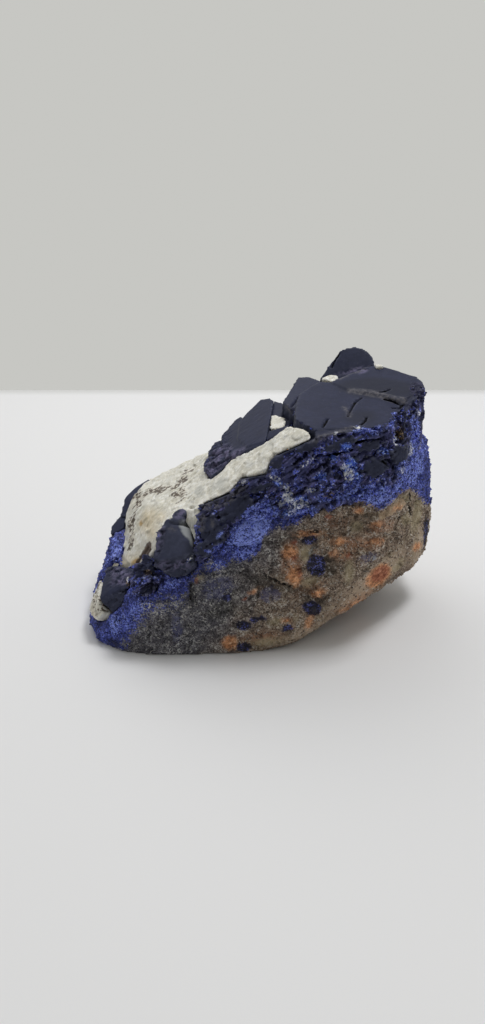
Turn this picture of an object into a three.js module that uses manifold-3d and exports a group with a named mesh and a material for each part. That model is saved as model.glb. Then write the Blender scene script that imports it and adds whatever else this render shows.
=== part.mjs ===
// A hand-sized lazurite specimen: dark lazurite crystals and white calcite grown on a block of host rock.
//
// Millimetres, +Z up. The stone is drawn with X along its length, Y away from its best side and Z up from
// the surface it rests on. At the end it is moved, so that the origin is under the middle of its box, on
// that surface.

import * as THREE from 'three';
import { ConvexGeometry } from 'three/addons/geometries/ConvexGeometry.js';
import { ImprovedNoise } from 'three/addons/math/ImprovedNoise.js';
import { TessellateModifier } from 'three/addons/modifiers/TessellateModifier.js';
import { mergeVertices } from 'three/addons/utils/BufferGeometryUtils.js';
import Module from 'manifold-3d';

const wasm = await Module();
wasm.setup();

// ---------------------------------------------------------------- driving dimensions

const SEAM = 0.35;            // gap between a piece and the one that is cut to fit it
const SAME_POINT = 1e-4;      // corners closer than this are one
const SPREADING = 1.06;       // a large crystal's root is this much wider than its face
const STRAIGHT = 1;           // a piece with straight sides
const TAPERING = 0.95;        // a small crystal's root is narrower than its face

// How each piece's root lies from its face: mostly down into the stone, or back into it from the front.
const CRYSTAL_ROOT = [0, 2, -19];
const NOTCH_ROOT = [2, 0, -19];
const FOOT_ROOT = [1, 6, -14];
const PEAK_ROOT = [-1, -2, -19];
const RIDGE_ROOT = [1, 1, -12];
const TAIL_ROOT = [2, 1, -12];
const BROKEN_FRONT_ROOT = [2, 12, -3];
const FLANK_ROOT = [-9, 9, -2];
const TONGUE_ROOT = [4, 10, -3];
const FRONT_ROOT = [2, 9, -7];
const LUMP_ROOT = [1, 0, -7];
const TOE_ROOT = [3, 5, -8];
const RIM_ROOT = [4, 1, -8];
const BAND_ROOT = [1.5, 1, -9];
const WEDGE_ROOT = [2, 6, -6];
const POCKET_ROOT = [0, 0, -5];
const TOE_PATCH_ROOT = [6, 2, -2];

const ROCK_FACET = 9;         // longest edge of the host rock's facets
const ROCK_WEAR = 1.1;        // deepest wear on the host rock
const ROCK_WAVE = 15;         // distance between the hollows that wear leaves in it
const CALCITE_FACET = 7;
const CALCITE_WEAR = 0.8;
const CALCITE_WAVE = 7;

const MATERIALS = {
  host_rock: { color: 0x6b6258, roughness: 0.85, metalness: 0 },
  calcite: { color: 0xd9d3c4, roughness: 0.6, metalness: 0 },
  lazurite: { color: 0x232a4e, roughness: 0.42, metalness: 0 },
};

// ---------------------------------------------------------------- outlines of the host rock

// Where the stone rests: its flat underside, going round from the toe.
const UNDERSIDE = [
  [-58.5, -21, 0], [-55, -30.5, 0], [-49, -35, 0], [-39, -38, 0], [-29.5, -39, 0], [-14.5, -38, 0],
  [3, -37.8, 0], [20, -31, 0], [36, -5, 0], [36, 24, 0], [-5, 31, 0], [-45, 24, 0], [-57, 2, 0],
];
// The undercut edge that rises from the underside to the overhanging right end.
const UNDERCUT = [
  [8, -36.8, 1.6], [19.5, -34.8, 3.8], [34, -27.8, 9.2], [53, -15.4, 13.1], [62.5, -8.5, 15.6],
  [72, -1, 17.4], [76.6, 6, 19.3], [76.6, 8, 29],
];
// The left end, from the floor up to the toe crystal.
const TOE_END = [
  [-60.8, -16, 3.4], [-59, -12, 9.4], [-56.6, -9, 14], [-54.6, -2, 20.4], [-53.4, 7, 26.4], [-54, -26, 10.6],
  [-58.6, -26, 4],
];
// The front face, from the left end to the bevel at its right.
const FRONT = [
  [-46, -33, 14], [-38, -32.8, 24], [-30, -32, 34], [-15, -30.5, 43], [8, -28, 59], [33, -26.5, 70],
  [50, -22, 74], [48, -28.5, 40], [57, -16, 70],
];
// The right end, which the eye meets edge on.
const RIGHT_END = [
  [73, 5, 37], [74.4, 7, 50], [72.2, 6, 63], [66.2, 4, 75], [61, 0, 79], [74, 24, 24], [72, 30, 48],
  [64, 26, 74],
];
// The back and the bed that the crystals and the calcite sit in.
const BACK = [
  [57, 34, 78], [46, 39, 77], [32, 37, 75], [10, 33, 65], [-12, 31.5, 48], [-38, 31.5, 35], [-47, 27, 29],
  [-55, 20, 9], [48, 38, 30], [2, 37, 22], [54, 40, 52], [18, 38, 52], [-34, 33, 16],
];

// ---------------------------------------------------------------- outlines of the crystals' faces

// The large flat face in the middle of the cluster.
const CENTRAL_FACE = [
  [20, 2, 85], [21.5, 8, 85.5], [27, 15.5, 86.4], [30, 18.5, 86.7], [34.5, 17.5, 86.7], [38, 14, 86.4],
  [42.5, 4, 85.5], [40.5, -20.5, 83.1], [32, -21.4, 82.8], [24.5, -22, 82.6], [21.5, -18.5, 83],
  [18.5, -14, 83.3], [18.5, -8.5, 83.8],
];
// The low ledge in front of it, which ends at the lobe of calcite.
const LEDGE_FACE = [
  [24.6, -21.5, 82.4], [36, -12, 82.6], [38, -22, 82.2], [32.5, -22.6, 82], [27.5, -24, 81.6],
  [24.8, -25.9, 81.3],
];
// The lower step that shows behind the central face and to its left.
const BACK_STEP_FACE = [
  [15, 7, 82.2], [22, 27, 85.8], [26.5, 25.5, 86.4], [30, 20, 86.5], [30, 14, 86], [24.5, 8, 84.4],
  [22, -4, 82.6], [17.5, 1, 82.1],
];
// The upper right face, the highest of the flat ones, and the worn slope in front of it.
const UPPER_RIGHT_FACE = [
  [34, 17, 86.6], [38, 18, 87.1], [43.5, 23, 88.3], [48, 27, 89.2], [51.2, 27.6, 89.6], [54.6, 26.6, 89.8],
  [55.4, 24.1, 89.5], [59.7, 21.4, 89.5], [65.8, 14.7, 89.1], [67.2, 9.7, 88.5], [66.6, 4, 87.7],
  [61.5, 1, 86.8], [57, -1.4, 86.1], [51.3, 4.7, 86.4], [40.5, 10.7, 86.3],
  [44, 3.4, 85.3], [47.4, 0.5, 85], [57, -3.4, 84.8],
];
// The lower right face in front of it, level with the central face.
const LOWER_RIGHT_FACE = [
  [40, 9, 86], [47, 1, 85.3], [58, -3, 85.1], [57, -6.5, 84.7], [53, -9, 84.5], [50.5, -17, 83.6],
  [48.5, -20, 83.2], [44.5, -21, 83], [40, -21.5, 82.9], [37, -18.5, 83.2], [37.5, -7, 84.2],
];
// The broken front of the cluster, a dark band under the flat faces.
const BROKEN_FRONT = [
  [24.8, -25.2, 80.6], [32, -23.2, 82], [38, -22, 82.3], [44.5, -21.2, 82.4], [48.5, -19.6, 82.2],
  [53, -15.5, 82], [57.5, -14.5, 76], [9, -28, 69.2], [8.7, -27.5, 70.6], [9.5, -27, 72.6],
  [11, -26.5, 74.1], [17, -26, 77], [22.5, -25.8, 79.3], [6.5, -31, 56.5], [14.5, -31.6, 53.5],
  [25, -30.6, 57.5], [41, -27.8, 59.5], [50, -24.5, 60.5], [56.5, -18.5, 65],
];
// The cluster's right flank, pitted and steep.
const RIGHT_FLANK = [
  [57, -13.5, 76], [58, -7, 83.8], [62.5, -1, 86.3], [66.4, 4.2, 87.4], [66.8, 9.5, 88],
  [68, 8, 71], [66.5, -1, 67], [57, -17, 65],
];
// The dark tongue that runs down the front from the broken face, in two steps.
const TONGUE_UPPER = [
  [-4, -27, 61.6], [-1.2, -26.5, 65.8], [2.2, -27, 66], [8.5, -27.5, 68.2], [9, -30.8, 59.5],
  [2.5, -31.4, 55], [-3.5, -32, 52],
];
const TONGUE_LOWER = [
  [-15.3, -27, 55.8], [-10.5, -27.5, 57.3], [-6.8, -27.5, 58.9], [-4, -27.3, 61], [2.5, -31.4, 56],
  [-2.5, -32.2, 52], [-9.5, -33.8, 44], [-15.5, -35, 37.5], [-16.6, -34.4, 42.5], [-16.5, -33, 45.4],
  [-16, -30.5, 50.5],
];
// The small crystal in the notch between the ridge and the cluster.
const NOTCH_FACE = [
  [12.4, 23, 77.4], [15.1, 20, 77.8], [18.3, 13, 77.9], [19, 9, 77.7], [17.5, 0, 76.4], [15.8, -4, 75.6],
  [12.2, -5.4, 74.5], [9.3, -5.5, 73.8], [10, 7, 75.3],
];
// The dark foot of the small crystal, which shows under the patch of calcite beside it.
const NOTCH_FOOT = [
  [8.5, -12.2, 74.3], [9.3, -7.5, 76.3], [12.4, -8.5, 76.9], [14.8, -9, 78.4], [16.7, -11.5, 80.3],
  [16, -12.8, 79.7], [14.4, -12.8, 78.2], [11.5, -12.8, 75.9],
];
// The ridge crystal: its smooth face, then the rough tail that runs down the calcite.
const RIDGE_FACE = [
  [-1.1, 19.1, 70.2], [1.7, 23.5, 72.2], [4.1, 23.8, 73.8], [6, 26.8, 75.1], [7.5, 28.5, 76.2],
  [10.7, 25.2, 77.9], [12.1, 20.3, 78.5], [10.9, 9.6, 77.2], [9.7, 4.1, 76.2], [9, -4.7, 75.3],
  [8.3, -11.8, 74.3], [5.6, -9, 72.4], [1.6, -6.6, 70.2], [-1.9, 4.3, 68.8],
];
const RIDGE_SHOULDER = [
  [-8.3, 14.3, 64.7], [-7.1, 18.5, 65.6], [-4.8, 22.4, 67.3], [-2.6, 25.4, 68.9], [-0.5, 25.2, 70.2],
  [2.8, -1.7, 70.9], [8.4, -12.6, 73.7], [6.6, -11.8, 72.7], [4.2, -9.3, 70.6], [2.4, -7, 69.7],
  [0.1, -4.5, 68], [-3.3, -3.8, 66.2], [-6.1, -3.8, 64.6],
];
const RIDGE_TAIL = [
  [-14.4, 1.5, 59.9], [-14.2, 5, 60.3], [-13.5, 8, 60.7], [-12.2, 14, 61.7], [-10.8, 16.5, 62.7],
  [-8.1, 15.5, 64.1], [-3.3, -3.5, 65.9], [-6, -4, 64.1], [-6.4, -6, 63.1], [-7.6, -8.5, 62],
  [-10.3, -8.8, 60.4], [-11.4, -8.5, 59.7], [-12.7, -6, 59.5],
];
// The peak crystal, the highest of all, behind the flat faces.
const PEAK_FACE = [
  [30.4, 26, 85.5], [32, 27.5, 87], [35.4, 30.7, 90.2], [37.2, 33.3, 92.8], [39, 34.9, 94.4],
  [42, 35.8, 95.4], [45, 36.1, 95.8], [48, 35.1, 95], [50.2, 33.8, 93.9], [51.6, 32.4, 92.6],
  [51.9, 30.1, 90.4], [48.6, 27.8, 88.1], [44, 26, 86.2], [38.5, 24.3, 84.4],
];
// The crystal at the front, under the calcite: its smooth face and the steep one below it, the rough flank
// at its left, and the small lump on top.
const FRONT_FACE = [
  [-25.6, -23.5, 46.6], [-21.4, -24, 46.6], [-18.4, -25, 46], [-18, -29, 43], [-17, -33.2, 41],
  [-16.8, -34.6, 36.5], [-20.6, -35.2, 33.2], [-24.6, -35.2, 32.4], [-28.5, -34.6, 34.4],
  [-30.2, -32.4, 37.4], [-28, -29.2, 41], [-27.3, -27.2, 43.1],
];
const FRONT_FLANK = [
  [-30, -24, 44.8], [-28.7, -21.8, 47], [-27, -21, 48], [-25, -21.8, 47.6], [-25, -28, 42],
  [-28, -34, 35.4], [-31.4, -33.4, 35.4], [-31.6, -31, 38.2], [-30.7, -27, 42.2],
];
const FRONT_LUMP = [
  [-25.6, -20.2, 49.6], [-23.9, -18.8, 50.5], [-21.8, -18.4, 51], [-20.7, -19.2, 50.6],
  [-20.1, -21, 49.3], [-21.5, -22.4, 48.4], [-24, -23, 47.6], [-25.7, -22, 48.2],
];
// The crystal on the toe: its top, then its steep front.
const TOE_FACE = [
  [-52.8, -9.5, 20.8], [-49.7, -11.5, 22.2], [-45.3, -16, 24.4], [-40.2, -22.2, 27.5],
  [-40.8, -24.2, 25.8], [-43.1, -27, 23], [-43.2, -28.6, 20.7], [-44.3, -30, 17.9],
  [-48.2, -30.6, 14.3], [-53.2, -26.5, 16.9], [-53.5, -21, 18.2],
];
// The dark lump between the toe crystal and the front crystal.
const SPUR_FACE = [
  [-38.6, -31.5, 30.5], [-37.2, -28.5, 33.6], [-35.6, -26.5, 36.2], [-33, -28, 35.4], [-30.4, -33, 31.6],
  [-31.7, -35.6, 27.4], [-34, -36.4, 25.6], [-38.5, -35.6, 25.6], [-40, -33, 27.4],
];
// The thin crystals along the back edge of the calcite.
const RIM_LOW = [
  [-53.4, 6, 26.4], [-53.6, 10.5, 28], [-50, 17, 30.4], [-48, 14, 31.4], [-48.2, 8, 28.6],
];
const RIM_HIGH = [
  [-50, 14, 31.4], [-49.4, 19, 33.8], [-49, 23, 35.4], [-46, 26.4, 37.4], [-43, 28.4, 38.6],
  [-39.2, 29.6, 40.8], [-42.4, 24, 38.6], [-45.6, 19, 36], [-48.4, 13, 31.8],
];

// ---------------------------------------------------------------- outlines of the calcite

// The upper part of the band, up to the lobe against the central face.
const UPPER_BAND = [
  [24.2, -26.8, 81.4], [23.3, -22.8, 82.4], [20.6, -18, 83.3], [18.5, -15.4, 82.8], [15.7, -13.7, 80.8],
  [11.3, -13.2, 76.7], [8, -12.9, 74.2], [0, 2, 68.3], [-13, 22, 55.6], [-18, 26, 53.6],
  [-22, -12, 50], [-15, -25.6, 54.6], [-8.5, -26, 57], [1, -26.2, 65.4], [9.2, -26, 71], [16, -25, 77],
];
// The lower part, which turns down to the toe.
const LOWER_BAND = [
  [-17, 26, 54], [-28, 27.5, 48.2], [-39, 28, 42], [-45, 25, 38.6], [-48.4, 19, 34.8], [-48, 12, 31.6],
  [-46.8, 3, 26.8], [-46.6, -4, 23.4], [-46.3, -13, 22.8], [-41, -14, 24.6], [-34, -26, 34],
  [-30.5, -25, 40.5], [-29.6, -20, 45], [-26, -15, 48], [-18, -16, 52],
];
// The thin hem that it has above the toe crystal.
const HEM = [
  [-53.2, -6.5, 19.9], [-51.3, -5.5, 21], [-49.2, -4.5, 22.1], [-46, -5, 24.4], [-45.2, -11.5, 24],
  [-50.4, -10.2, 21.3],
];
// The grey wedge between the front crystal and the dark tongue.
const WEDGE = [
  [-22, -16.5, 50.2], [-15, -26.2, 55], [-15.6, -31.6, 46], [-16.8, -32, 43.5], [-19.5, -25.5, 46.5],
];
// Small patches caught between crystals, and one on the toe.
const LOW_POCKET = [
  [9.6, 4, 76.1], [10.6, 8.6, 76.8], [12, 7.2, 76.9], [13, 3.8, 76.8], [16, 3, 77.6], [15.6, -1.2, 77],
  [14.5, -4.6, 76.3], [11, -3.6, 75.5], [9.4, 0, 75.5],
];
const HIGH_POCKET = [
  [31, 21, 87.1], [32.8, 22.6, 87.4], [34.6, 24.2, 87.6], [36.6, 23, 87.6], [37, 19.2, 87.2],
  [35.2, 16.8, 87], [33.4, 19, 87],
];
const PEAK_POCKET = [
  [51.8, 28.4, 90.8], [54.2, 26.4, 90.6], [54.6, 24, 90.8], [52, 24, 90.8],
];
const TOE_PATCH = [
  [-59.4, -19, 6.6], [-58.8, -13, 9.8], [-56.4, -8.6, 14.4], [-55.2, -14, 15.6], [-54, -25, 15.8],
  [-52, -29.5, 13], [-54.5, -29.5, 9.6],
];

// ---------------------------------------------------------------- making solids

const noise = new ImprovedNoise();

const toPoint = (corner) => new THREE.Vector3(...corner);

// The same mesh with nothing but positions, and its shared corners made one.
function merged(geometry) {
  const bare = new THREE.BufferGeometry();
  bare.setAttribute('position', geometry.getAttribute('position'));
  if (geometry.index) bare.setIndex(geometry.index);
  return mergeVertices(bare, SAME_POINT);
}

function manifoldFrom(geometry) {
  const closed = merged(geometry);
  return new wasm.Manifold(new wasm.Mesh({
    numProp: 3,
    vertProperties: new Float32Array(closed.getAttribute('position').array),
    triVerts: new Uint32Array(closed.index.array),
  }));
}

function geometryFrom(solid) {
  const { vertProperties, triVerts } = solid.getMesh();
  const geometry = new THREE.BufferGeometry();
  geometry.setAttribute('position', new THREE.BufferAttribute(new Float32Array(vertProperties), 3));
  geometry.setIndex(new THREE.BufferAttribute(new Uint32Array(triVerts), 1));
  return geometry;
}

// The corners of a block that shows one face and is rooted in the stone: the face, and the same outline
// moved by root and spread about its middle.
function rooted(face, root, spread) {
  const outline = face.map(toPoint);
  const middle = new THREE.Vector3();
  for (const point of outline) middle.addScaledVector(point, 1 / outline.length);
  const rootMiddle = middle.clone().add(toPoint(root));
  const foot = outline.map((point) => point.clone().sub(middle).multiplyScalar(spread).add(rootMiddle));
  return [...outline, ...foot];
}

const block = (corners) => manifoldFrom(new ConvexGeometry(corners));

// The same block grown by margin along every axis, to cut room for the block in its neighbours.
function grown(corners, margin) {
  const around = [];
  for (const corner of corners) {
    for (const dx of [-margin, margin]) {
      for (const dy of [-margin, margin]) {
        for (const dz of [-margin, margin]) {
          around.push(corner.clone().add(new THREE.Vector3(dx, dy, dz)));
        }
      }
    }
  }
  return block(around);
}

// A piece made of blocks grown together: its solid, and the room it takes in the pieces around it.
function piece(...blocks) {
  return {
    solid: blocks.map(block).reduce((all, next) => all.add(next)),
    room: blocks.map((corners) => grown(corners, SEAM)).reduce((all, next) => all.add(next)),
  };
}

const cut = (solid, ...others) => others.reduce((left, other) => left.subtract(other.room), solid);

// Wear: the facets are divided, their edges rounded and hollows taken out. No point moves outwards, and the
// flat underside stays flat.
function worn(solid, facet, depth, wave) {
  const passes = 30;
  const rounding = 0.45;
  const divided = new TessellateModifier(facet, passes).modify(geometryFrom(solid).toNonIndexed());
  const geometry = merged(divided);
  geometry.computeVertexNormals();
  const { position, normal } = geometry.attributes;
  const sums = Array.from({ length: position.count }, () => new THREE.Vector3());
  const counts = new Array(position.count).fill(0);
  const { array: corners } = geometry.index;
  for (let i = 0; i < corners.length; i += 1) {
    const next = i % 3 === 2 ? i - 2 : i + 1;
    sums[corners[i]].add(new THREE.Vector3().fromBufferAttribute(position, corners[next]));
    counts[corners[i]] += 1;
  }
  const moved = new Float32Array(position.array);
  for (let i = 0; i < position.count; i += 1) {
    const point = new THREE.Vector3().fromBufferAttribute(position, i);
    const outward = new THREE.Vector3().fromBufferAttribute(normal, i);
    const move = sums[i].divideScalar(counts[i]).sub(point).multiplyScalar(rounding);
    const hollow = 0.5 + 0.5 * noise.noise(point.x / wave, point.y / wave, point.z / wave);
    move.addScaledVector(outward, -depth * hollow);
    move.addScaledVector(outward, -Math.max(0, move.dot(outward)));
    if (point.z < 0.01) move.z = 0;
    point.add(move).toArray(moved, 3 * i);
  }
  geometry.setAttribute('position', new THREE.BufferAttribute(moved, 3));
  return manifoldFrom(geometry);
}

// The largest body of a solid, without the crumbs that a cut leaves.
function largest(solid) {
  return solid.decompose().reduce((best, next) => (next.volume() > best.volume() ? next : best));
}

// ---------------------------------------------------------------- the crystals

const cluster = piece(
  rooted(CENTRAL_FACE, CRYSTAL_ROOT, SPREADING),
  rooted(LEDGE_FACE, CRYSTAL_ROOT, STRAIGHT),
  rooted(BACK_STEP_FACE, CRYSTAL_ROOT, SPREADING),
  rooted(UPPER_RIGHT_FACE, CRYSTAL_ROOT, SPREADING),
  rooted(LOWER_RIGHT_FACE, CRYSTAL_ROOT, SPREADING),
  rooted(NOTCH_FACE, NOTCH_ROOT, SPREADING),
  rooted(NOTCH_FOOT, FOOT_ROOT, STRAIGHT),
  rooted(BROKEN_FRONT, BROKEN_FRONT_ROOT, STRAIGHT),
  rooted(RIGHT_FLANK, FLANK_ROOT, STRAIGHT),
  rooted(TONGUE_UPPER, TONGUE_ROOT, STRAIGHT),
  rooted(TONGUE_LOWER, TONGUE_ROOT, STRAIGHT),
);
const ridge = piece(
  rooted(RIDGE_FACE, RIDGE_ROOT, SPREADING),
  rooted(RIDGE_SHOULDER, RIDGE_ROOT, SPREADING),
  rooted(RIDGE_TAIL, TAIL_ROOT, SPREADING),
);
const peak = piece(rooted(PEAK_FACE, PEAK_ROOT, TAPERING));
const front = piece(
  rooted(FRONT_FACE, FRONT_ROOT, TAPERING),
  rooted(FRONT_FLANK, FRONT_ROOT, TAPERING),
  rooted(FRONT_LUMP, LUMP_ROOT, STRAIGHT),
);
const spur = piece(rooted(SPUR_FACE, FRONT_ROOT, TAPERING));
const toe = piece(rooted(TOE_FACE, TOE_ROOT, TAPERING));
const rim = piece(rooted(RIM_LOW, RIM_ROOT, TAPERING), rooted(RIM_HIGH, RIM_ROOT, TAPERING));

// ---------------------------------------------------------------- the calcite

const band = piece(
  rooted(UPPER_BAND, BAND_ROOT, STRAIGHT),
  rooted(LOWER_BAND, BAND_ROOT, STRAIGHT),
  rooted(HEM, BAND_ROOT, STRAIGHT),
  rooted(WEDGE, WEDGE_ROOT, STRAIGHT),
);
const wornBand = worn(band.solid, CALCITE_FACET, CALCITE_WEAR, CALCITE_WAVE);
const lowPocket = piece(rooted(LOW_POCKET, POCKET_ROOT, SPREADING));
const highPocket = piece(rooted(HIGH_POCKET, POCKET_ROOT, SPREADING));
const peakPocket = piece(rooted(PEAK_POCKET, POCKET_ROOT, SPREADING));
const toePatch = piece(rooted(TOE_PATCH, TOE_PATCH_ROOT, TAPERING));

// ---------------------------------------------------------------- the host rock

const rockCorners = [...UNDERSIDE, ...UNDERCUT, ...TOE_END, ...FRONT, ...RIGHT_END, ...BACK].map(toPoint);
const rock = worn(block(rockCorners), ROCK_FACET, ROCK_WEAR, ROCK_WAVE);

// ---------------------------------------------------------------- each piece, cut to fit its neighbours

const crystals = [cluster, ridge, peak, front, spur, toe, rim];
const patches = [lowPocket, highPocket, peakPocket, toePatch];

const nodes = {
  crystal_cluster: [cluster.solid, 'lazurite'],
  crystal_ridge: [cut(ridge.solid, cluster), 'lazurite'],
  crystal_peak: [cut(peak.solid, cluster), 'lazurite'],
  crystal_front: [cut(front.solid, cluster), 'lazurite'],
  crystal_spur: [cut(spur.solid, front), 'lazurite'],
  crystal_toe: [cut(toe.solid, spur), 'lazurite'],
  crystal_rim: [rim.solid, 'lazurite'],
  calcite_pocket_low: [cut(lowPocket.solid, cluster, ridge), 'calcite'],
  calcite_pocket_high: [cut(highPocket.solid, cluster, peak), 'calcite'],
  calcite_pocket_peak: [cut(peakPocket.solid, cluster, peak), 'calcite'],
  calcite_toe: [cut(toePatch.solid, toe), 'calcite'],
  calcite_band: [cut(wornBand, ...crystals, ...patches), 'calcite'],
  host_rock: [cut(rock, ...crystals, ...patches, band), 'host_rock'],
};

// ---------------------------------------------------------------- the scene graph

const stone = new THREE.Group();
for (const [name, [solid, material]] of Object.entries(nodes)) {
  const finish = new THREE.MeshStandardMaterial(MATERIALS[material]);
  const mesh = new THREE.Mesh(geometryFrom(largest(solid)), finish);
  mesh.name = name;
  stone.add(mesh);
}

const specimen = new THREE.Group();
specimen.add(stone);
const box = new THREE.Box3().setFromObject(specimen);
const centre = box.getCenter(new THREE.Vector3());
stone.position.set(-centre.x, -centre.y, -box.min.z);

export default specimen;
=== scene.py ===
"""The looks of a lazurite specimen: dark crystals and white calcite on a block of grey to brown rock.

Features are placed in the drawing's millimetres, as the crystals' outlines are: X along the stone, Y away
from its best side and Z up from the surface it rests on. The part's frame is in metres, and the corner
that DRAWN_CORNER names ties the two together.
"""
import math

import bmesh
import bpy
import numpy as np
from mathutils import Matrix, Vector


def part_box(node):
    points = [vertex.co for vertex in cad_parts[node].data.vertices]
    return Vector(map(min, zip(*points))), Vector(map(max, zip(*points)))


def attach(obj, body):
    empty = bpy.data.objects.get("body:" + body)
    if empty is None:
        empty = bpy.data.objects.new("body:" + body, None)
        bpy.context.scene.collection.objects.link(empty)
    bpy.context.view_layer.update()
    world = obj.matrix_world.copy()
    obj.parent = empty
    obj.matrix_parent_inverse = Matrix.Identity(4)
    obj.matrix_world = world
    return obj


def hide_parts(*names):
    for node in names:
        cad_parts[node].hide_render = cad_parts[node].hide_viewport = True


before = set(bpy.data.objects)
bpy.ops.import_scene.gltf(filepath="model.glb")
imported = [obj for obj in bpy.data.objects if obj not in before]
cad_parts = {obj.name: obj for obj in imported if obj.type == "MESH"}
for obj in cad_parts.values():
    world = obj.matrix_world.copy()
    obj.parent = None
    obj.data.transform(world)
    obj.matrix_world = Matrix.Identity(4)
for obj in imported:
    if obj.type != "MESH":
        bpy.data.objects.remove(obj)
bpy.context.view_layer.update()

# ---------------------------------------------------------------- sizes

MM = 0.001
DRAWN_CORNER = (-16.6, -35.0)       # the cluster's lowest X and Y in the drawing
COARSE = 1.0

WELD = 1e-6                         # corners of a CAD face that are this near, in metres, are one
ROCK_VOXEL = 0.72                   # how fine the surfaces are, in mm
CALCITE_VOXEL = 0.5
CRYSTAL_VOXEL = 0.42

CALCITE_NODES = ["calcite_" + name for name in ("band", "pocket_low", "pocket_high", "pocket_peak", "toe")]
CRYSTAL_NODES = ["crystal_" + name for name in ("cluster", "ridge", "peak", "front", "spur", "toe", "rim")]


def drawing_shift():
    """What to add to a point of the drawing, in mm, to reach the part's frame."""
    low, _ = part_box("crystal_cluster")
    return np.array([low.x / MM - DRAWN_CORNER[0], low.y / MM - DRAWN_CORNER[1], 0.0])


SHIFT = drawing_shift()


def place(x, y, z):
    """A point of the drawing, as a vector in the part's frame."""
    return Vector((np.array([x, y, z]) + SHIFT) * MM)


# ---------------------------------------------------------------- where things are on the stone, in mm

# The lower edge of the blue skin: X along the stone and height above the surface it rests on. On the back,
# it hangs less far down by BLUE_BACK_LIFT.
BLUE_EDGE = [
    (-60, -30), (-47, -6), (-44.3, 2.5), (-39.7, 9.3), (-37.8, 12.6), (-33.9, 16.9), (-30.4, 19.8),
    (-23.7, 22.1), (-19.5, 24.4), (-18.6, 29.6), (-15.2, 32.6), (-7.8, 33.9), (-3.7, 37.4), (1.1, 37.2),
    (5.1, 38.4), (6.4, 41.8), (7.5, 46.3), (11.6, 48.5), (18.3, 50.6), (23.2, 53.8), (28.1, 58), (34, 59.4),
    (40.3, 57.9), (44.7, 56.2), (48.1, 53.6), (53.9, 54.8), (58.5, 55.4), (62.1, 55), (65.3, 50),
    (71.6, 42), (78, 38),
]
BLUE_BACK_LIFT = 9

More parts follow.
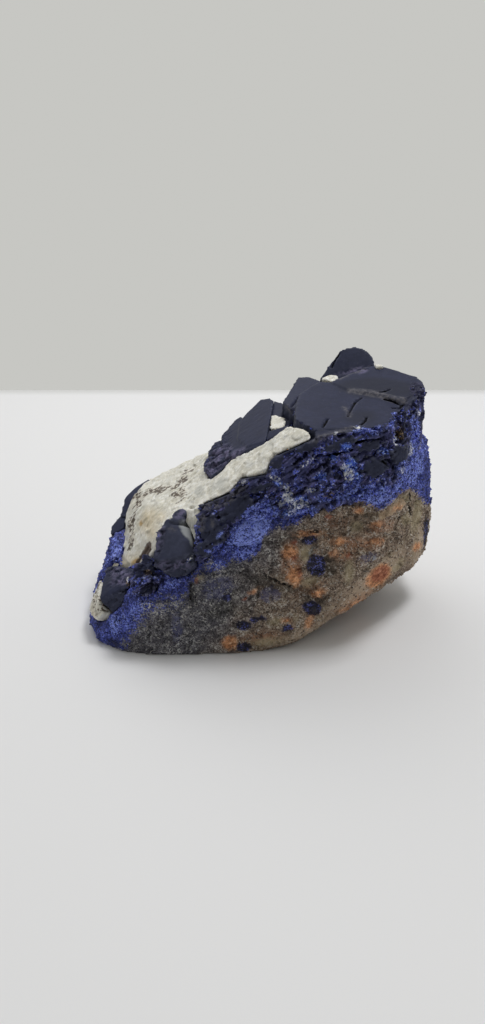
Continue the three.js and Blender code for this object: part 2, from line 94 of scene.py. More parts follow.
# Patches are (X, Y, Z, half length, half height, turn in degrees if any), seen from PATCH_TILT degrees up:
# from the front, or from the back if their Y is past FRONT_ENDS. A seventh value is how deep one reaches.
PATCH_TILT = 27
FRONT_ENDS = 30
ROCK_PATCHES = {
    "spots": [
        (23.6, -29.8, 44.1, 2.9, 1.7, 5), (26.4, -30.9, 34.3, 3.5, 4.2, 15),
        (25.4, -32.6, 17.2, 4, 2.4, -20), (16.3, -34.3, 9.4, 2.2, 1.5, 10), (0.3, -35.8, 11.8, 3, 1.8),
        (0.4, -36.6, 2.6, 2.8, 1.9), (-5.6, -34.1, 22.7, 1.8, 1.4), (73, 2.9, 29, 1.4, 6),
        (4.4, -35.1, 14, 1.8, 1.3), (7.2, -35, 14.4, 1.5, 1), (40, 36, 22, 7, 3, 20),
        (-12, 33, 18, 6, 4, -10), (8, 38, 40, 5, 2.4, 30),
    ],
    "faint": [
        (9.9, -33.4, 23.4, 3.6, 2.8), (-24, -36.2, 11, 2, 5.5), (45.4, -27, 35.4, 3.4, 1.6, 15),
        (-9, -35, 27, 6, 4, 20), (60, 38, 40, 6, 9),
    ],
    "rust": [
        (40.6, -26.7, 54.4, 1.5, 1), (48, -26.2, 48.5, 1.7, 0.8, 10), (23.2, -29.7, 46.6, 3.6, 0.8, 3),
        (16.6, -30.9, 39.8, 2.6, 2.6), (18.7, -32.1, 30.2, 2.6, 3.6, 10), (27.4, -31.9, 23.3, 2.4, 1.7, 25),
        (24.6, -33, 11.8, 1.2, 2.8, -15), (15.9, -34.2, 12.8, 1.4, 0.9),
        (51.3, -19.4, 22.6, 6, 4.8, 22, 14), (34.5, -29, 43, 2, 1.2), (32.6, -29.8, 38.7, 1.3, 1),
        (48, -26.5, 41.6, 2.4, 0.7, 8), (68.5, -4.1, 26.6, 2, 1.5, 20), (43.1, -20.2, 10.9, 1.8, 0.7, 25),
        (38.8, -23.3, 10.2, 1.5, 0.6, 20), (-4.7, -37, 5, 2.9, 2.8), (4, -33.4, 25.2, 1.2, 0.6, 25),
        (-41.4, -28.6, 22.6, 1.1, 1.8), (56.6, -17.3, 50.6, 1.7, 0.8, 20), (30, 37, 48, 6, 3, -15),
        (10, 36, 30, 4, 2.5, 10), (72, 20, 38, 3, 4), (-2, 36, 22, 2.5, 1.5), (52, 36, 40, 3.5, 2, 30),
    ],
    "red": [
        (30, -28.3, 52.5, 1.1, 0.8), (18.4, -30.2, 43.4, 0.9, 0.9), (18.5, -31.2, 37.6, 0.9, 0.8),
        (20.4, -31.8, 31.4, 0.8, 1.2), (17.7, -34.1, 9.5, 1, 0.6, 30), (52, -19, 23.4, 4.2, 3.1, 24, 14),
        (37.7, -29.2, 37.7, 0.9, 0.7), (49, -24, 57, 2.2, 0.8, 20), (1, -33.8, 22, 0.7, 0.4, 30),
        (-16.6, -33, 29.4, 0.5, 0.9), (24, 38, 44, 2, 1.4),
    ],
    "tan": [
        (60.6, -11.6, 51.4, 2, 1.6), (59.8, -12.4, 23.4, 1.8, 3, -40), (22.2, -30.7, 38.9, 1.7, 2.4),
        (24.8, -31.7, 27.9, 3, 1.6, 25), (40.5, -27.6, 48.3, 2, 1.4), (38.4, -29.8, 30.8, 1.8, 4.2),
        (67, -4.3, 42, 3, 8, -10), (61.5, -11, 42, 2.2, 2), (8.6, -35.6, 4.4, 5.5, 1.5, 6),
        (-16, -33, 30.6, 1.6, 1.2), (12, -34.4, 12.6, 2.4, 1.4, 20), (20, 38, 34, 7, 4, 20),
        (60, 33, 56, 5, 3),
    ],
    "slab": [(53, -20.6, 51, 6, 1.9, 28), (57.6, -14.6, 50.6, 2.6, 2, 30)],
    "white": [
        (47, -26.6, 34.8, 1.7, 0.7, 15), (-41, -28.8, 20.9, 1.3, 0.9, 30), (-9, -31, 38.1, 0.8, 0.5),
        (-49.5, -1, 25.8, 0.9, 1.6), (-50.4, -6.4, 22.9, 0.8, 1.4), (-50.2, 3.2, 27, 0.8, 1),
        (24.4, -30, 39.6, 0.5, 2, -30), (-35, -31, 32.8, 0.9, 0.5), (30, 38, 28, 1.6, 1),
    ],
}
# Where the blue is brighter, the more so where several overlap, whitened by wear, and darker. The bright
# patches stacked near X 3, Z 48 are partly painted light, on blue that the cluster above shades.
BRIGHT_BLUE = [
    (3, -29.7, 47.5, 5.5, 7, 30), (4.8, -29, 52, 7, 4, 25), (-1, -31, 42, 6, 4, 15),
    (-9, -31.6, 35.4, 6.5, 2.2, 8), (-26, -33, 28, 5, 1.8, 25), (-38, -33, 18, 6, 2.6, 38),
    (-45, -33, 11, 5, 4.5, 45), (-52.5, -30, 3, 3.5, 3), (64.5, -4.5, 62, 3, 10, -6),
    (48, -25, 58.6, 9, 2.6), (47, -25, 58, 8, 2), (46, -25.2, 59, 8, 2.4, 2), (36, -27.5, 60.5, 9, 2.4),
    (58, -14, 60, 7, 5, 20), (2, -29.6, 48.6, 8, 4.5, 32), (2.6, -29.6, 48.2, 7, 4, 32),
    (3, -29.5, 48, 7.5, 4.5, 32), (61, -9, 66, 0.7, 8, -8), (66.6, -3, 60, 0.7, 9, -6),
]
FROSTED = [(-49.6, -2.5, 25, 1.6, 6, 10), (64, -5, 66, 0.6, 6, -4), (-54, -28, 12, 1.5, 2.5)]
DARK_BLUE = [
    (23.6, -29.8, 44.1, 4, 2.4, 5), (73, 2.9, 29, 3, 8), (-13.7, -32.7, 31.5, 3, 1.6, 20),
    (-53.4, -29.4, 8.6, 2.6, 2), (-13.4, -31.6, 35.6, 4, 2.4, 10), (-20.6, -32.7, 29.5, 2.2, 1.2),
    (-54.2, -29.3, 2, 1.6, 2.2), (-31, -33, 29, 4.5, 2.2, 30), (-47.5, -33.8, 2, 4.5, 3),
    (-12, -29, 36, 5, 1.2), (63, -6, 64, 0.7, 9, -8), (65.4, -4, 56, 0.7, 6, -6),
]
# Warm and shaded stretches, bulges and the worn, sandy bevel of the right end.
ORANGE_STREAKS = [
    (41, -28.2, 42, 10, 2.2, -4), (36.5, -29.3, 38, 4, 2, 10), (17.4, -31.4, 36, 3.6, 7, 8),
    (24, -31.9, 25.4, 5, 1.8, 25), (50, -24, 46.4, 6, 2, 14), (7, -35, 6, 7, 2.4, 5),
    (44, -22.6, 14, 8, 2, 26), (34, -28, 50, 5, 1.6), (14, 37, 40, 8, 3, 10), (56, 34, 44, 9, 3, -10),
]
RAISED = [(3.5, -29.5, 49.5, 9, 5.5, 32), (40, -26.5, 59.4, 12, 1.6, 4)]
HOLLOWS = [
    (30.4, -30.5, 34, 3.6, 5, 10), (22, -32.6, 24, 7, 2.4, -20), (8, -32.8, 28, 7, 2.6, -25),
    (26, -32.2, 19.6, 5, 2.4), (18, -31, 46.6, 8, 1.4, 10), (36, -28.6, 50.6, 9, 1.6),
    (-18, -34, 24, 1.6, 5), (-8, -35.6, 18, 6, 3, 20),
]
TAN_BEVEL = [(50, -20, 22, 32, 9, 27), (28, -30, 6.5, 20, 4, 18), (66, 0, 26, 10, 12, 30)]
ROCK_CRACKS = [
    [(47.1, -24.8, 55), (50.2, -23, 55.6), (53, -20.5, 56.4), (57.5, -15.5, 57.4)],
    [(62.1, -9.6, 53.1), (62.6, -9.6, 48.3), (63.1, -9.2, 43.8)], [(57.9, -15.4, 45.5), (60.7, -12, 44.8)],
    [(4.9, -32.2, 34.5), (6.9, -32.4, 32.7), (8.6, -32.6, 30.4), (12.7, -32.6, 28.5), (17.3, -32.6, 26.1)],
    [(-18.6, -33.1, 28.1), (-18.5, -33.6, 25.6), (-18.9, -34.3, 22.2)],
    [(24.2, -29.5, 46.9), (26.6, -29.3, 47.2)], [(20, 38, 52), (34, 38, 44), (40, 37, 33)],
    [(-10, 30, 30), (4, 36, 26), (12, 38, 14)],
]
ROCK_CRACK_WIDTH = 0.6
ROCK_CRACK_DEPTH = 0.8

# On the crystals.
CRYSTAL_PATCHES = {
    "azure": [
        (35.2, -24.2, 77.1, 2, 1.4), (26.4, -27.9, 68, 2, 1.2, 10), (36.6, -25.8, 70.8, 2.6, 2.6),
        (31, -25.9, 73.8, 1.4, 0.8, 30), (38.6, -25.6, 66.6, 2, 1.6), (19.7, -30.1, 60, 2.4, 1.4, 10),
        (16.4, -31, 55.8, 2.4, 1, 20), (48.6, -21.6, 74.8, 1.2, 0.8), (12, -29, 66, 1.4, 1.2),
    ],
    "white": [
        (22.6, -27.1, 73.7, 1.2, 0.5, 20), (20.9, -27.5, 71.8, 1.1, 0.5, 30),
        (11.2, -28.4, 67.2, 2, 0.9, -30), (15.2, -29.2, 64.4, 1.1, 1.2), (23.1, -29.3, 63.4, 1.4, 0.8, 20),
        (36.6, -26.2, 67.6, 1.7, 2.2), (15.6, -30, 61, 1.8, 2.1), (18.6, -30.2, 58.4, 2.6, 1.7, 20),
        (22.4, -30.4, 58.6, 1.2, 0.9, 20), (17, -31, 55.8, 1.6, 0.8, 20), (13.4, -30.4, 58.4, 1, 1),
        (53, -17.9, 77, 0.9, 1.4), (39.2, -20.8, 82.9, 1.1, 0.5), (0.7, -27.2, 65.2, 0.9, 0.6),
        (60.4, -10.2, 70.4, 0.8, 2.4), (-18.6, -33.9, 38.6, 0.9, 0.4, 40), (31.6, -24.4, 82, 0.6, 0.5),
        (56, -14.6, 64, 1.6, 0.8, 30), (34.4, -25.8, 70.6, 1.2, 1), (-42.3, -25, 24.6, 0.7, 0.9),
        (63.8, -1.7, 81.2, 0.7, 1),
    ],
    "stain": [
        (55.2, -14.6, 79, 1.9, 3, -10), (37.5, -26.5, 66.6, 0.9, 1.3, -20), (30, -29, 61.2, 2, 1.2),
        (-42.2, -25.6, 24.2, 1, 1.6), (16, -29.6, 61.8, 1.6, 0.7), (-34, -31.6, 31.8, 1.6, 1),
    ],
    "film": [(-19.3, -25.4, 45.4, 4.4, 2.1, -50), (-17.4, -26.6, 43, 1.4, 2.6)],
}
BRIGHT_PATCHES = [
    (38.4, -25.6, 65, 2.6, 2, 20), (19.6, -29.3, 63.6, 1.2, 0.8), (11, -28, 69, 1.4, 1.4),
    (44, -26, 60.6, 10, 2.8, 4), (62.4, -6, 71, 2.6, 9, -8), (57, -15, 64.5, 4, 3.4, -25),
    (61.6, -7, 79, 1.8, 3), (-7.8, -33, 48.2, 1.3, 0.6, 50), (-1.6, -31.6, 50, 3.4, 1.8, 40),
    (4, -30.2, 55, 5, 2.4, 35), (10, -31, 55.6, 3, 2, 20), (6.6, -30.6, 57.4, 3.8, 2, 30),
    (30, -29, 60.4, 5, 1.6, 8), (21, -31, 55.4, 5, 1.8, 15), (-8.6, -32, 42, 2.6, 1.4, 30),
    (62.6, -8, 61, 3, 3.4), (58.6, -13.6, 62, 2.6, 2.6), (36.6, -27.5, 64, 2, 1.8),
]
# Flat plates of the broken front: a patch each, turn included, and how far they stand out.
SLABS = [
    (54.9, -17.6, 71.6, 4.6, 4.2, 0, 1.2), (45.6, -23.8, 69.4, 5.4, 3.6, 8, 0.7),
    (33.4, -24.4, 78.3, 7.6, 2, 18, 0.6), (43.6, -22.7, 77, 5, 1.8, 16, 0.6),
    (11.5, -26.9, 72.8, 2.9, 2.4, 55, 0.3), (22, -25.8, 77.8, 5, 1.6, 24, 0.4),
    (-2, -29.8, 56.6, 7.5, 3.8, 36, 0.5), (6, -29, 64, 4, 1.4, 24, 0.3),
    (-10.4, -31.8, 49, 5, 6.4, 10, 0.6), (-13.6, -32.6, 42, 3, 3.4, 0, 0.5),
    (38, -26, 72.6, 2.4, 1.6, 20, 0.5),
]
CRACKS = [
    [(38.4, 33.6, 93.6), (36.6, 31.8, 91.4), (35.3, 29.6, 89.2)],
    [(20.8, 8.6, 83.6), (19.2, 4.8, 82.8), (17.8, 1.9, 82.3)],
    [(43.4, 2.7, 85.5), (41, -0.6, 85), (39.6, -3.6, 84.7), (37.8, -8.6, 84.2), (36.9, -12.1, 83.8)],
    [(27.3, -20.3, 82.9), (28.5, -17.2, 83.2), (29.5, -14.4, 83.5)],
    [(51.6, 0.6, 85.8), (54.6, -1.6, 85.6), (57.4, -4.6, 84.9)],
    [(43.1, -13.7, 83.8), (42.3, -16.3, 83.5), (40.4, -19, 83.2)],
    [(50.6, 4.9, 86.4), (52.3, 5.1, 86.6), (54.2, 6.3, 86.9)],
    [(53.5, -6.2, 84.8), (55.5, -6.7, 84.7), (57.9, -3.3, 84.8)],
    [(50.9, -20.5, 72.6), (51.4, -20.4, 69), (53.5, -19.5, 67.4)],
    [(45.6, -24.2, 72.4), (48.4, -22.6, 71.2), (50.6, -21.6, 68.6)],
    [(38.5, -23.5, 78.2), (43, -22.4, 79.2), (48, -20.6, 78.6)],
    [(25.4, -26, 75), (30, -25.8, 74.4), (37.4, -24.2, 76)],
]
CRACK_WIDTH = 0.42
CRACK_DEPTH = 1.1
# Faces painted darker, a painted shade where a face reflects less light than its neighbours, small pits, and
# the rugged ear and left edge of the front crystal.
PAINTED_DIM_FACES = [(50.6, 9, 86.6, 17, 6, -14), (41, -13, 83.6, 6, 3, 10)]
PITTED = [(64.4, 4, 87.2, 2.6, 4), (61.6, -3.4, 83.8, 2.6, 1.8, 30), (61, -7, 82, 1.8, 3)]
EAR = [(-29.6, -25, 44, 1.5, 5), (-30.6, -31, 38, 1.3, 3)]
# Rough, purplish stretches of crystals that are smooth elsewhere.
GRAZED = [
    (-10.5, 0, 61, 9, 5, 50), (-3, -5, 65.6, 5, 1.8, 35), (-22.4, -20.5, 49.6, 3, 1.8),
    (-29.8, -25.5, 43.4, 1.7, 6, -5), (-46, -19, 23.6, 6, 1.8, -5), (-24, -33.5, 36, 6, 2),
    (47, 22, 90, 3, 1.2, 30), (-44, -24, 24, 6, 1.8, 10), (43.5, 27.4, 88.4, 6, 1.1, 12),
]
# The step up from the top's left and near crystals to its far right one: its line in X and Y, and height.
STEP_X = (33, 34.4, 37.7, 40.4, 46, 50.4, 55, 60, 68)
STEP_Y = (30, 15.6, 11.2, 8.2, 5.4, 2.6, -1.1, -4, -10)
STEP_HEIGHT = 0.6
# Pale grazed streaks, the first, along the step, partly a painted highlight on its edge, and the blue strips
# along the front edge of the top: lines and half widths.
PALE_STREAKS = [
    ([(40.6, 8.4, 86), (45.8, 6.3, 86.1), (50.4, 3.2, 86.1), (55, -1.1, 85.7), (58, -2, 85.6)], 1.5),
    ([(36.1, -5.2, 84.5), (37.6, -9.2, 84.2), (37.3, -12.5, 83.8)], 0.7),
    ([(16.1, 4.4, 81.5), (17.4, 0.9, 80.9)], 0.8),
    ([(37.3, 18.2, 87.1), (41.7, 22.2, 88), (45, 23.6, 88.5), (50.2, 28.9, 89.1)], 0.35),
    ([(-12.9, -27.7, 56), (-8.8, -28.3, 57.2), (-4.8, -28.3, 58.9), (-1.7, -28, 62),
     (1.1, -27, 65.4)], 1.2),
    ([(-26.2, -24.2, 45.3), (-24, -25.5, 45.6)], 0.4), ([(-14, -29.6, 52.6), (-14.5, -31.2, 49.4)], 1.3),
    ([(19.8, -20.7, 76.6), (23.4, -25.6, 79.8), (26.7, -25.3, 81.2), (30.1, -23.9, 81.8),
     (37.3, -20.8, 82.7)], 0.8),
    ([(10, -27.9, 69.5), (10.7, -28.6, 66.8), (13.8, -29.1, 64.8)], 0.9),
    ([(-10.7, -31, 52.6), (-10.2, -31.2, 50.8), (-10.4, -31.4, 49)], 0.5),
]
BLUE_STRIPS = [
    ([(38.4, -22.4, 82), (41, -21.8, 82), (44.9, -21.3, 81.4)], 0.8),
    ([(53.3, -10.8, 84.3), (52.5, -13.8, 82.6), (49.9, -18.2, 82.2), (45.2, -20.8, 82.2)], 0.8),
    ([(-16.4, -30.4, 46), (-14, -33.5, 43), (-11, -34, 41.6)], 0.6),
    ([(-30.1, -25.7, 43.3), (-32.4, -24, 38.4)], 0.35),
]

# On the calcite. SPECK_LINES have dark specks around them.
CALCITE_PATCHES = {
    "yellow": [
        (-36, -8, 40.4, 4.6, 5.6, 40), (-33.4, -16, 40, 2.6, 3.4, 30), (-40.4, -18, 28, 2.6, 2, 30),
        (-31, -12.6, 44, 2.4, 1.6, 20), (-46, -11, 23.2, 3, 2), (-56.4, -23.6, 8, 1, 2.6),
    ],
    "ochre": [
        (-39.2, -3.7, 37, 0.9, 1.1), (-34.4, -21, 35.8, 1.4, 0.7, 45), (-40, -18, 28.4, 1.8, 0.8, 35),
    ],
}
GREY_CALCITE = [
    (-17.4, -25.6, 46, 2, 3.4, 8), (-8, -17, 60, 3.4, 1.8, 20), (-15.7, -12, 54.8, 2, 2.4),
    (9.6, -16, 75, 1.8, 0.8, 25), (2.6, -20.8, 69, 1.8, 0.8, 30), (-0.9, -9, 66.8, 1.4, 1),
    (-7, -23, 60.4, 1.4, 0.8, 30),
]
BROWN_SEAM = ([(-34.6, -20.8, 35.8), (-36.5, -20.5, 32.9)], 2.4)
BROWN_TAIL = ([(-36.5, -20.5, 32.9), (-37.8, -19.7, 31.2), (-39.6, -19.2, 28.4)], 1.2)
SPECK_LINES = [
    [(-43.4, 17.8, 38.3), (-39.2, 14.9, 41.1), (-33.9, 12.4, 44), (-28.3, 4.4, 46.8), (-25.1, 3.4, 48.7),
     (-21.1, 15.5, 51)],
    [(-25.1, 3.4, 48.7), (-23.1, -7.4, 49.2)],
    [(-41.2, 10.1, 38.9), (-44, 9, 36.3), (-43.8, 3, 33.8), (-44.2, -2.1, 30.5), (-43, -8, 29)],
]
SPECK_WIDTH = 3.2
SEAM_WIDTH = 0.7
SEAM_DEPTH = 0.7


# ---------------------------------------------------------------- fields over a mesh

def vectors(items, name):
    values = np.empty(len(items) * 3, np.float32)
    items.foreach_get(name, values)
    return values.reshape(-1, 3)


def drawn_points(mesh):
    return vectors(mesh.vertices, "co") / MM - SHIFT


def normals(mesh):
    return vectors(mesh.vertex_normals, "vector")


def ramp(values, low, high):
    """0 at low, 1 at high, smooth between them."""
    t = np.clip((values - low) / (high - low), 0, 1)
    return t * t * (3 - 2 * t)


def patch_depth(points, x, y, z, half_length, half_height, turn=0.0, through=10.0):
    """How far inside a patch each point lies, in mm: its smaller half size at the centre, 0 at the edge."""
    right, back, up = (points - np.array([x, y, z])).T
    tilt = math.radians(PATCH_TILT if y < FRONT_ENDS else -PATCH_TILT)
    rise = up * math.cos(tilt) + back * math.sin(tilt)
    away = back * math.cos(tilt) - up * math.sin(tilt)
    angle = math.radians(turn)
    along = (right * math.cos(angle) + rise * math.sin(angle)) / half_length
    across = (rise * math.cos(angle) - right * math.sin(angle)) / half_height
    return (1 - np.sqrt(along ** 2 + across ** 2 + (away / through) ** 2)) * min(half_length, half_height)


def inside(points, patches):
    """The depth inside the nearest of several patches."""
    return np.max([patch_depth(points, *patch) for patch in patches], axis=0)


def depths(points, table):
    return {name: inside(points, patches) for name, patches in table.items()}


def several(points, patches, most=2.0):
    """How many patches overlap at each point, with soft edges."""
    return np.minimum(sum(ramp(patch_depth(points, *patch), -1, 1.6) for patch in patches), most)


def distance_to_line(points, line):
    """Distance in mm from each point to a broken line."""
    best = np.full(len(points), np.inf)
    for start, end in zip(np.array(line[:-1]), np.array(line[1:])):
        span = end - start
        t = np.clip((points - start) @ span / (span @ span), 0, 1)
        best = np.minimum(best, np.linalg.norm(points - start - t[:, None] * span, axis=1))
    return best


def inside_strips(points, strips):
    """The depth inside the nearest of several strips, each a line and its half width."""
    return np.max([width - distance_to_line(points, line) for line, width in strips], axis=0)


def nearest_line(points, lines, most=4.0):
    """Distance in mm to the nearest of several broken lines, as far as it matters."""
    return np.minimum(np.min([distance_to_line(points, line) for line in lines], axis=0), most)


def groove(points, lines, width):
    """1 in the middle of the nearest line, falling to 0 a little more than its width away."""
    return np.exp(-(nearest_line(points, lines, 9.0) / width) ** 2)


def store(mesh, **fields):
    for name, values in fields.items():
        layer = mesh.attributes.get(name) or mesh.attributes.new(name, "FLOAT", "POINT")
        layer.data.foreach_set("value", np.full(len(mesh.vertices), values, np.float32))


def read(mesh, name):
    values = np.empty(len(mesh.vertices), np.float32)
    mesh.attributes[name].data.foreach_get("value", values)
    return values


def blue_skin(x, z, behind):
    """How far a point of the rock lies above the blue skin's lower edge, in mm and less on the left."""
    edge = np.interp(x, *np.array(BLUE_EDGE).T)
    edge = edge + behind * (BLUE_BACK_LIFT + 5 * np.sin(x / 7) - 0.25 * (x - 30))
    return (0.3 + 0.8 * ramp(x, -16, 6)) * (z - edge)


def rock_fields(mesh):
    points, facing = drawn_points(mesh), normals(mesh)
    x, y, z = points.T
    behind = ramp(y, 8, 24)
    skin = blue_skin(x, z, behind)
    tan = inside(points, TAN_BEVEL)
    hollows = inside(points, HOLLOWS)
    smooth = ramp(tan, -1, 5) * ramp(-facing[:, 1], -0.2, 0.3)
    raised = 0.3 * ramp(skin, -0.6, 0.8) + 1.5 * ramp(inside(points, RAISED), -0.4, 1.6)
    sunk = ROCK_CRACK_DEPTH * groove(points, ROCK_CRACKS, ROCK_CRACK_WIDTH) + 0.5 * ramp(hollows, -1, 1.5)
    store(
        mesh,
        **depths(points, ROCK_PATCHES),
        blue=skin,
        orange=ramp(inside(points, ORANGE_STREAKS), -2, 2),
        shade=ramp(hollows, -1.5, 1.5),
        # The brightness is partly painted light, where the cluster above shades the blue near X 3, Z 48.
        bright=several(points, BRIGHT_BLUE, 6.0) + 2 * several(points, FROSTED) - several(points, DARK_BLUE),
        brown=np.maximum(ramp(x - 0.5 * (z - 30), -14, 26), 0.8 * behind),
        bevel=ramp(tan, -2, 4),
        crack=nearest_line(points, ROCK_CRACKS),
        wavy=1,
        rough=1 - 0.7 * smooth,
        grainy=1 + 0.3 * ramp(skin, -1, 1) - 0.5 * smooth,
        relief=raised - sunk,
        under=ramp(z, 0.2, 2.5),
    )


def crystal_roughness(node, x, z, rough):
    """How broken each crystal is, from 0 on a clean face to 1: the cluster most, the others less."""
    if node == "crystal_ridge":
        return 0.02 + 0.43 * ramp(x, -3, -8)
    if node == "crystal_toe":
        return 0.25 * rough + 0.25 * ramp(z, 19, 22)
    if node == "crystal_spur":
        return 0.5 + 0.5 * rough
    return rough if node == "crystal_cluster" else 0.25 * rough


def lay_slabs(points, rough):
    """Flat plates on a broken face: how far they stand out, in mm, and the roughness that they leave."""
    x, _, z = points.T
    wobble = 0.14 * np.sin(1.9 * x + 1.1 * z) + 0.12 * np.sin(2.7 * z - 1.3 * x + 1)
    relief = np.zeros(len(points))
    for *patch, height in SLABS:
        half_sizes = patch[3:5]
        depth = patch_depth(points, *patch) / min(half_sizes) + wobble
        relief += height * ramp(depth, 0, 0.3)
        rough = rough * (1 - 0.83 * ramp(depth, -0.05, 0.15))
    return relief, rough


def crystal_painted_paleness(node, z, steep):
    """How much paler a crystal is painted, as painted light: its steep sides, and the whole of some."""
    if node == "crystal_cluster":
        return 0.6 * steep
    if node == "crystal_front":
        return steep + 1.2 * ramp(z, 34, 42)
    return steep + 0.35 if node == "crystal_peak" else steep


def crystal_fields(mesh, node):
    points, facing = drawn_points(mesh), normals(mesh)
    x, y, z = points.T
    steep = ramp(facing[:, 2], 0.72, 0.45)
    broken = crystal_roughness(node, x, z, steep * (1 - 0.8 * ramp(facing[:, 1], 0.2, 0.6)))
    relief, rough = lay_slabs(points, broken)
    if node == "crystal_cluster":
        rough *= (1 - 0.7 * ramp(x, 56, 62)) * (1 - 0.85 * ramp(facing[:, 0], -0.4, -0.8) * ramp(z, 60, 70))
        past_step = ramp(y - np.interp(x, STEP_X, STEP_Y), -1.2, 1.0)
        relief += STEP_HEIGHT * past_step * ramp(facing[:, 2], 0.6, 0.9)
    if node == "crystal_front":
        rough = np.maximum(rough, 0.5 * ramp(inside(points, EAR), -1, 0.5))
    grazed = ramp(inside(points, GRAZED), -0.8, 1.2)
    pitted = ramp(inside(points, PITTED), -1, 1)
    store(
        mesh,
        **depths(points, CRYSTAL_PATCHES),
        blue=np.maximum(inside(points, BRIGHT_PATCHES), inside_strips(points, BLUE_STRIPS)),
        # Painted shade and painted light on some faces follow.
        deep=ramp(inside(points, PAINTED_DIM_FACES), -1.5, 1.5),
        hazy=crystal_painted_paleness(node, z, steep),
        pale=inside_strips(points, PALE_STREAKS),
        grazed=np.maximum(grazed, 0.7 * pitted),
        rough=np.clip(rough + 0.25 * grazed + 0.5 * pitted, 0, 1),
        broken=broken * ramp(rough, 0, 0.4),
        pitted=pitted,
        crack=nearest_line(points, CRACKS),
        wavy=0.15 + 0.85 * steep if node == "crystal_cluster" else 0.2,
        grainy=1,
        relief=relief - CRACK_DEPTH * groove(points, CRACKS, CRACK_WIDTH),
        under=1,
    )


def calcite_fields(mesh, node):
    points = drawn_points(mesh)
    toe = float(node == "calcite_toe")
    specks = np.maximum(groove(points, SPECK_LINES, SPECK_WIDTH), 0.45 * toe)
    store(
        mesh,
        **depths(points, CALCITE_PATCHES),
        brown=inside_strips(points, [BROWN_SEAM, BROWN_TAIL]),
        specks=specks,
        grey=inside(points, GREY_CALCITE) + 9 * toe,
        rough=0.6 + 0.4 * toe,
        wavy=1,
        grainy=1 + specks,
        relief=-SEAM_DEPTH * groove(points, [BROWN_SEAM[0], BROWN_TAIL[0]], SEAM_WIDTH),
        under=1,
    )


# ---------------------------------------------------------------- nodes

FLOAT, WHOLE, VECTOR = "NodeSocketFloat", "NodeSocketInt", "NodeSocketVector"
COLOUR, GEOMETRY, MATERIAL = "NodeSocketColor", "NodeSocketGeometry", "NodeSocketMaterial"
CLEAVAGE = (0.85, 0.0, 0.53)        # the way the broken face's splinters lie
HALF = (0.5, 0.5, 0.5)


class Value:
    """A node's output. Arithmetic on it adds nodes, as do its ramps and blends."""

    def __init__(self, nodes, socket):
        self.nodes = nodes
        self.socket = socket
        self.is_vector = socket.type in ("VECTOR", "RGBA")

    def __add__(self, other):
        return self.nodes.math("ADD", self, other)

    def __sub__(self, other):
        return self.nodes.math("SUBTRACT", self, other)

    def __mul__(self, other):
        return self.nodes.scaled(self, other) if self.is_vector else self.nodes.math("MULTIPLY", self, other)

    def __rsub__(self, number):
        return self.nodes.math("SUBTRACT", number, self)

    def __rtruediv__(self, number):
        return self.nodes.math("DIVIDE", number, self)

    def __abs__(self):
        return self.nodes.math("ABSOLUTE", self)

    def dot(self, vector):
        return self.nodes.math("DOT_PRODUCT", self, vector)

    def ramp(self, low, high, start=0.0, end=1.0):
        """Smoothly from start to end while the value goes from low to high."""
        inputs = {"Value": self, "From Min": low, "From Max": high, "To Min": start, "To Max": end}
        return self.nodes.output("ShaderNodeMapRange", inputs, interpolation_type="SMOOTHSTEP")

    def blend(self, low, high):
        """One colour where the value is 0, another where it is 1."""
        return self.nodes.output("ShaderNodeMix", {0: self, 6: low, 7: high}, 2, data_type="RGBA")

    def covered(self, *layers):
        """This colour with others over it in turn, each as far as its cover says."""
        colour = self
        for over, cover in layers:
            colour = cover.blend(colour, over)
        return colour

    def tones(self, stops):
        """A colour for each value from 0 to 1."""
        node = self.nodes.node("ShaderNodeValToRGB", {"Fac": self})
        elements = node.color_ramp.elements
        while len(elements) < len(stops):
            elements.new(0.5)
        for element, (position, colour) in zip(elements, stops):
            element.position = position
            element.color = (*colour, 1)
        return Value(self.nodes, node.outputs["Color"])

    def channel(self, number):
        return self.nodes.output("ShaderNodeSeparateColor", {0: self}, number)


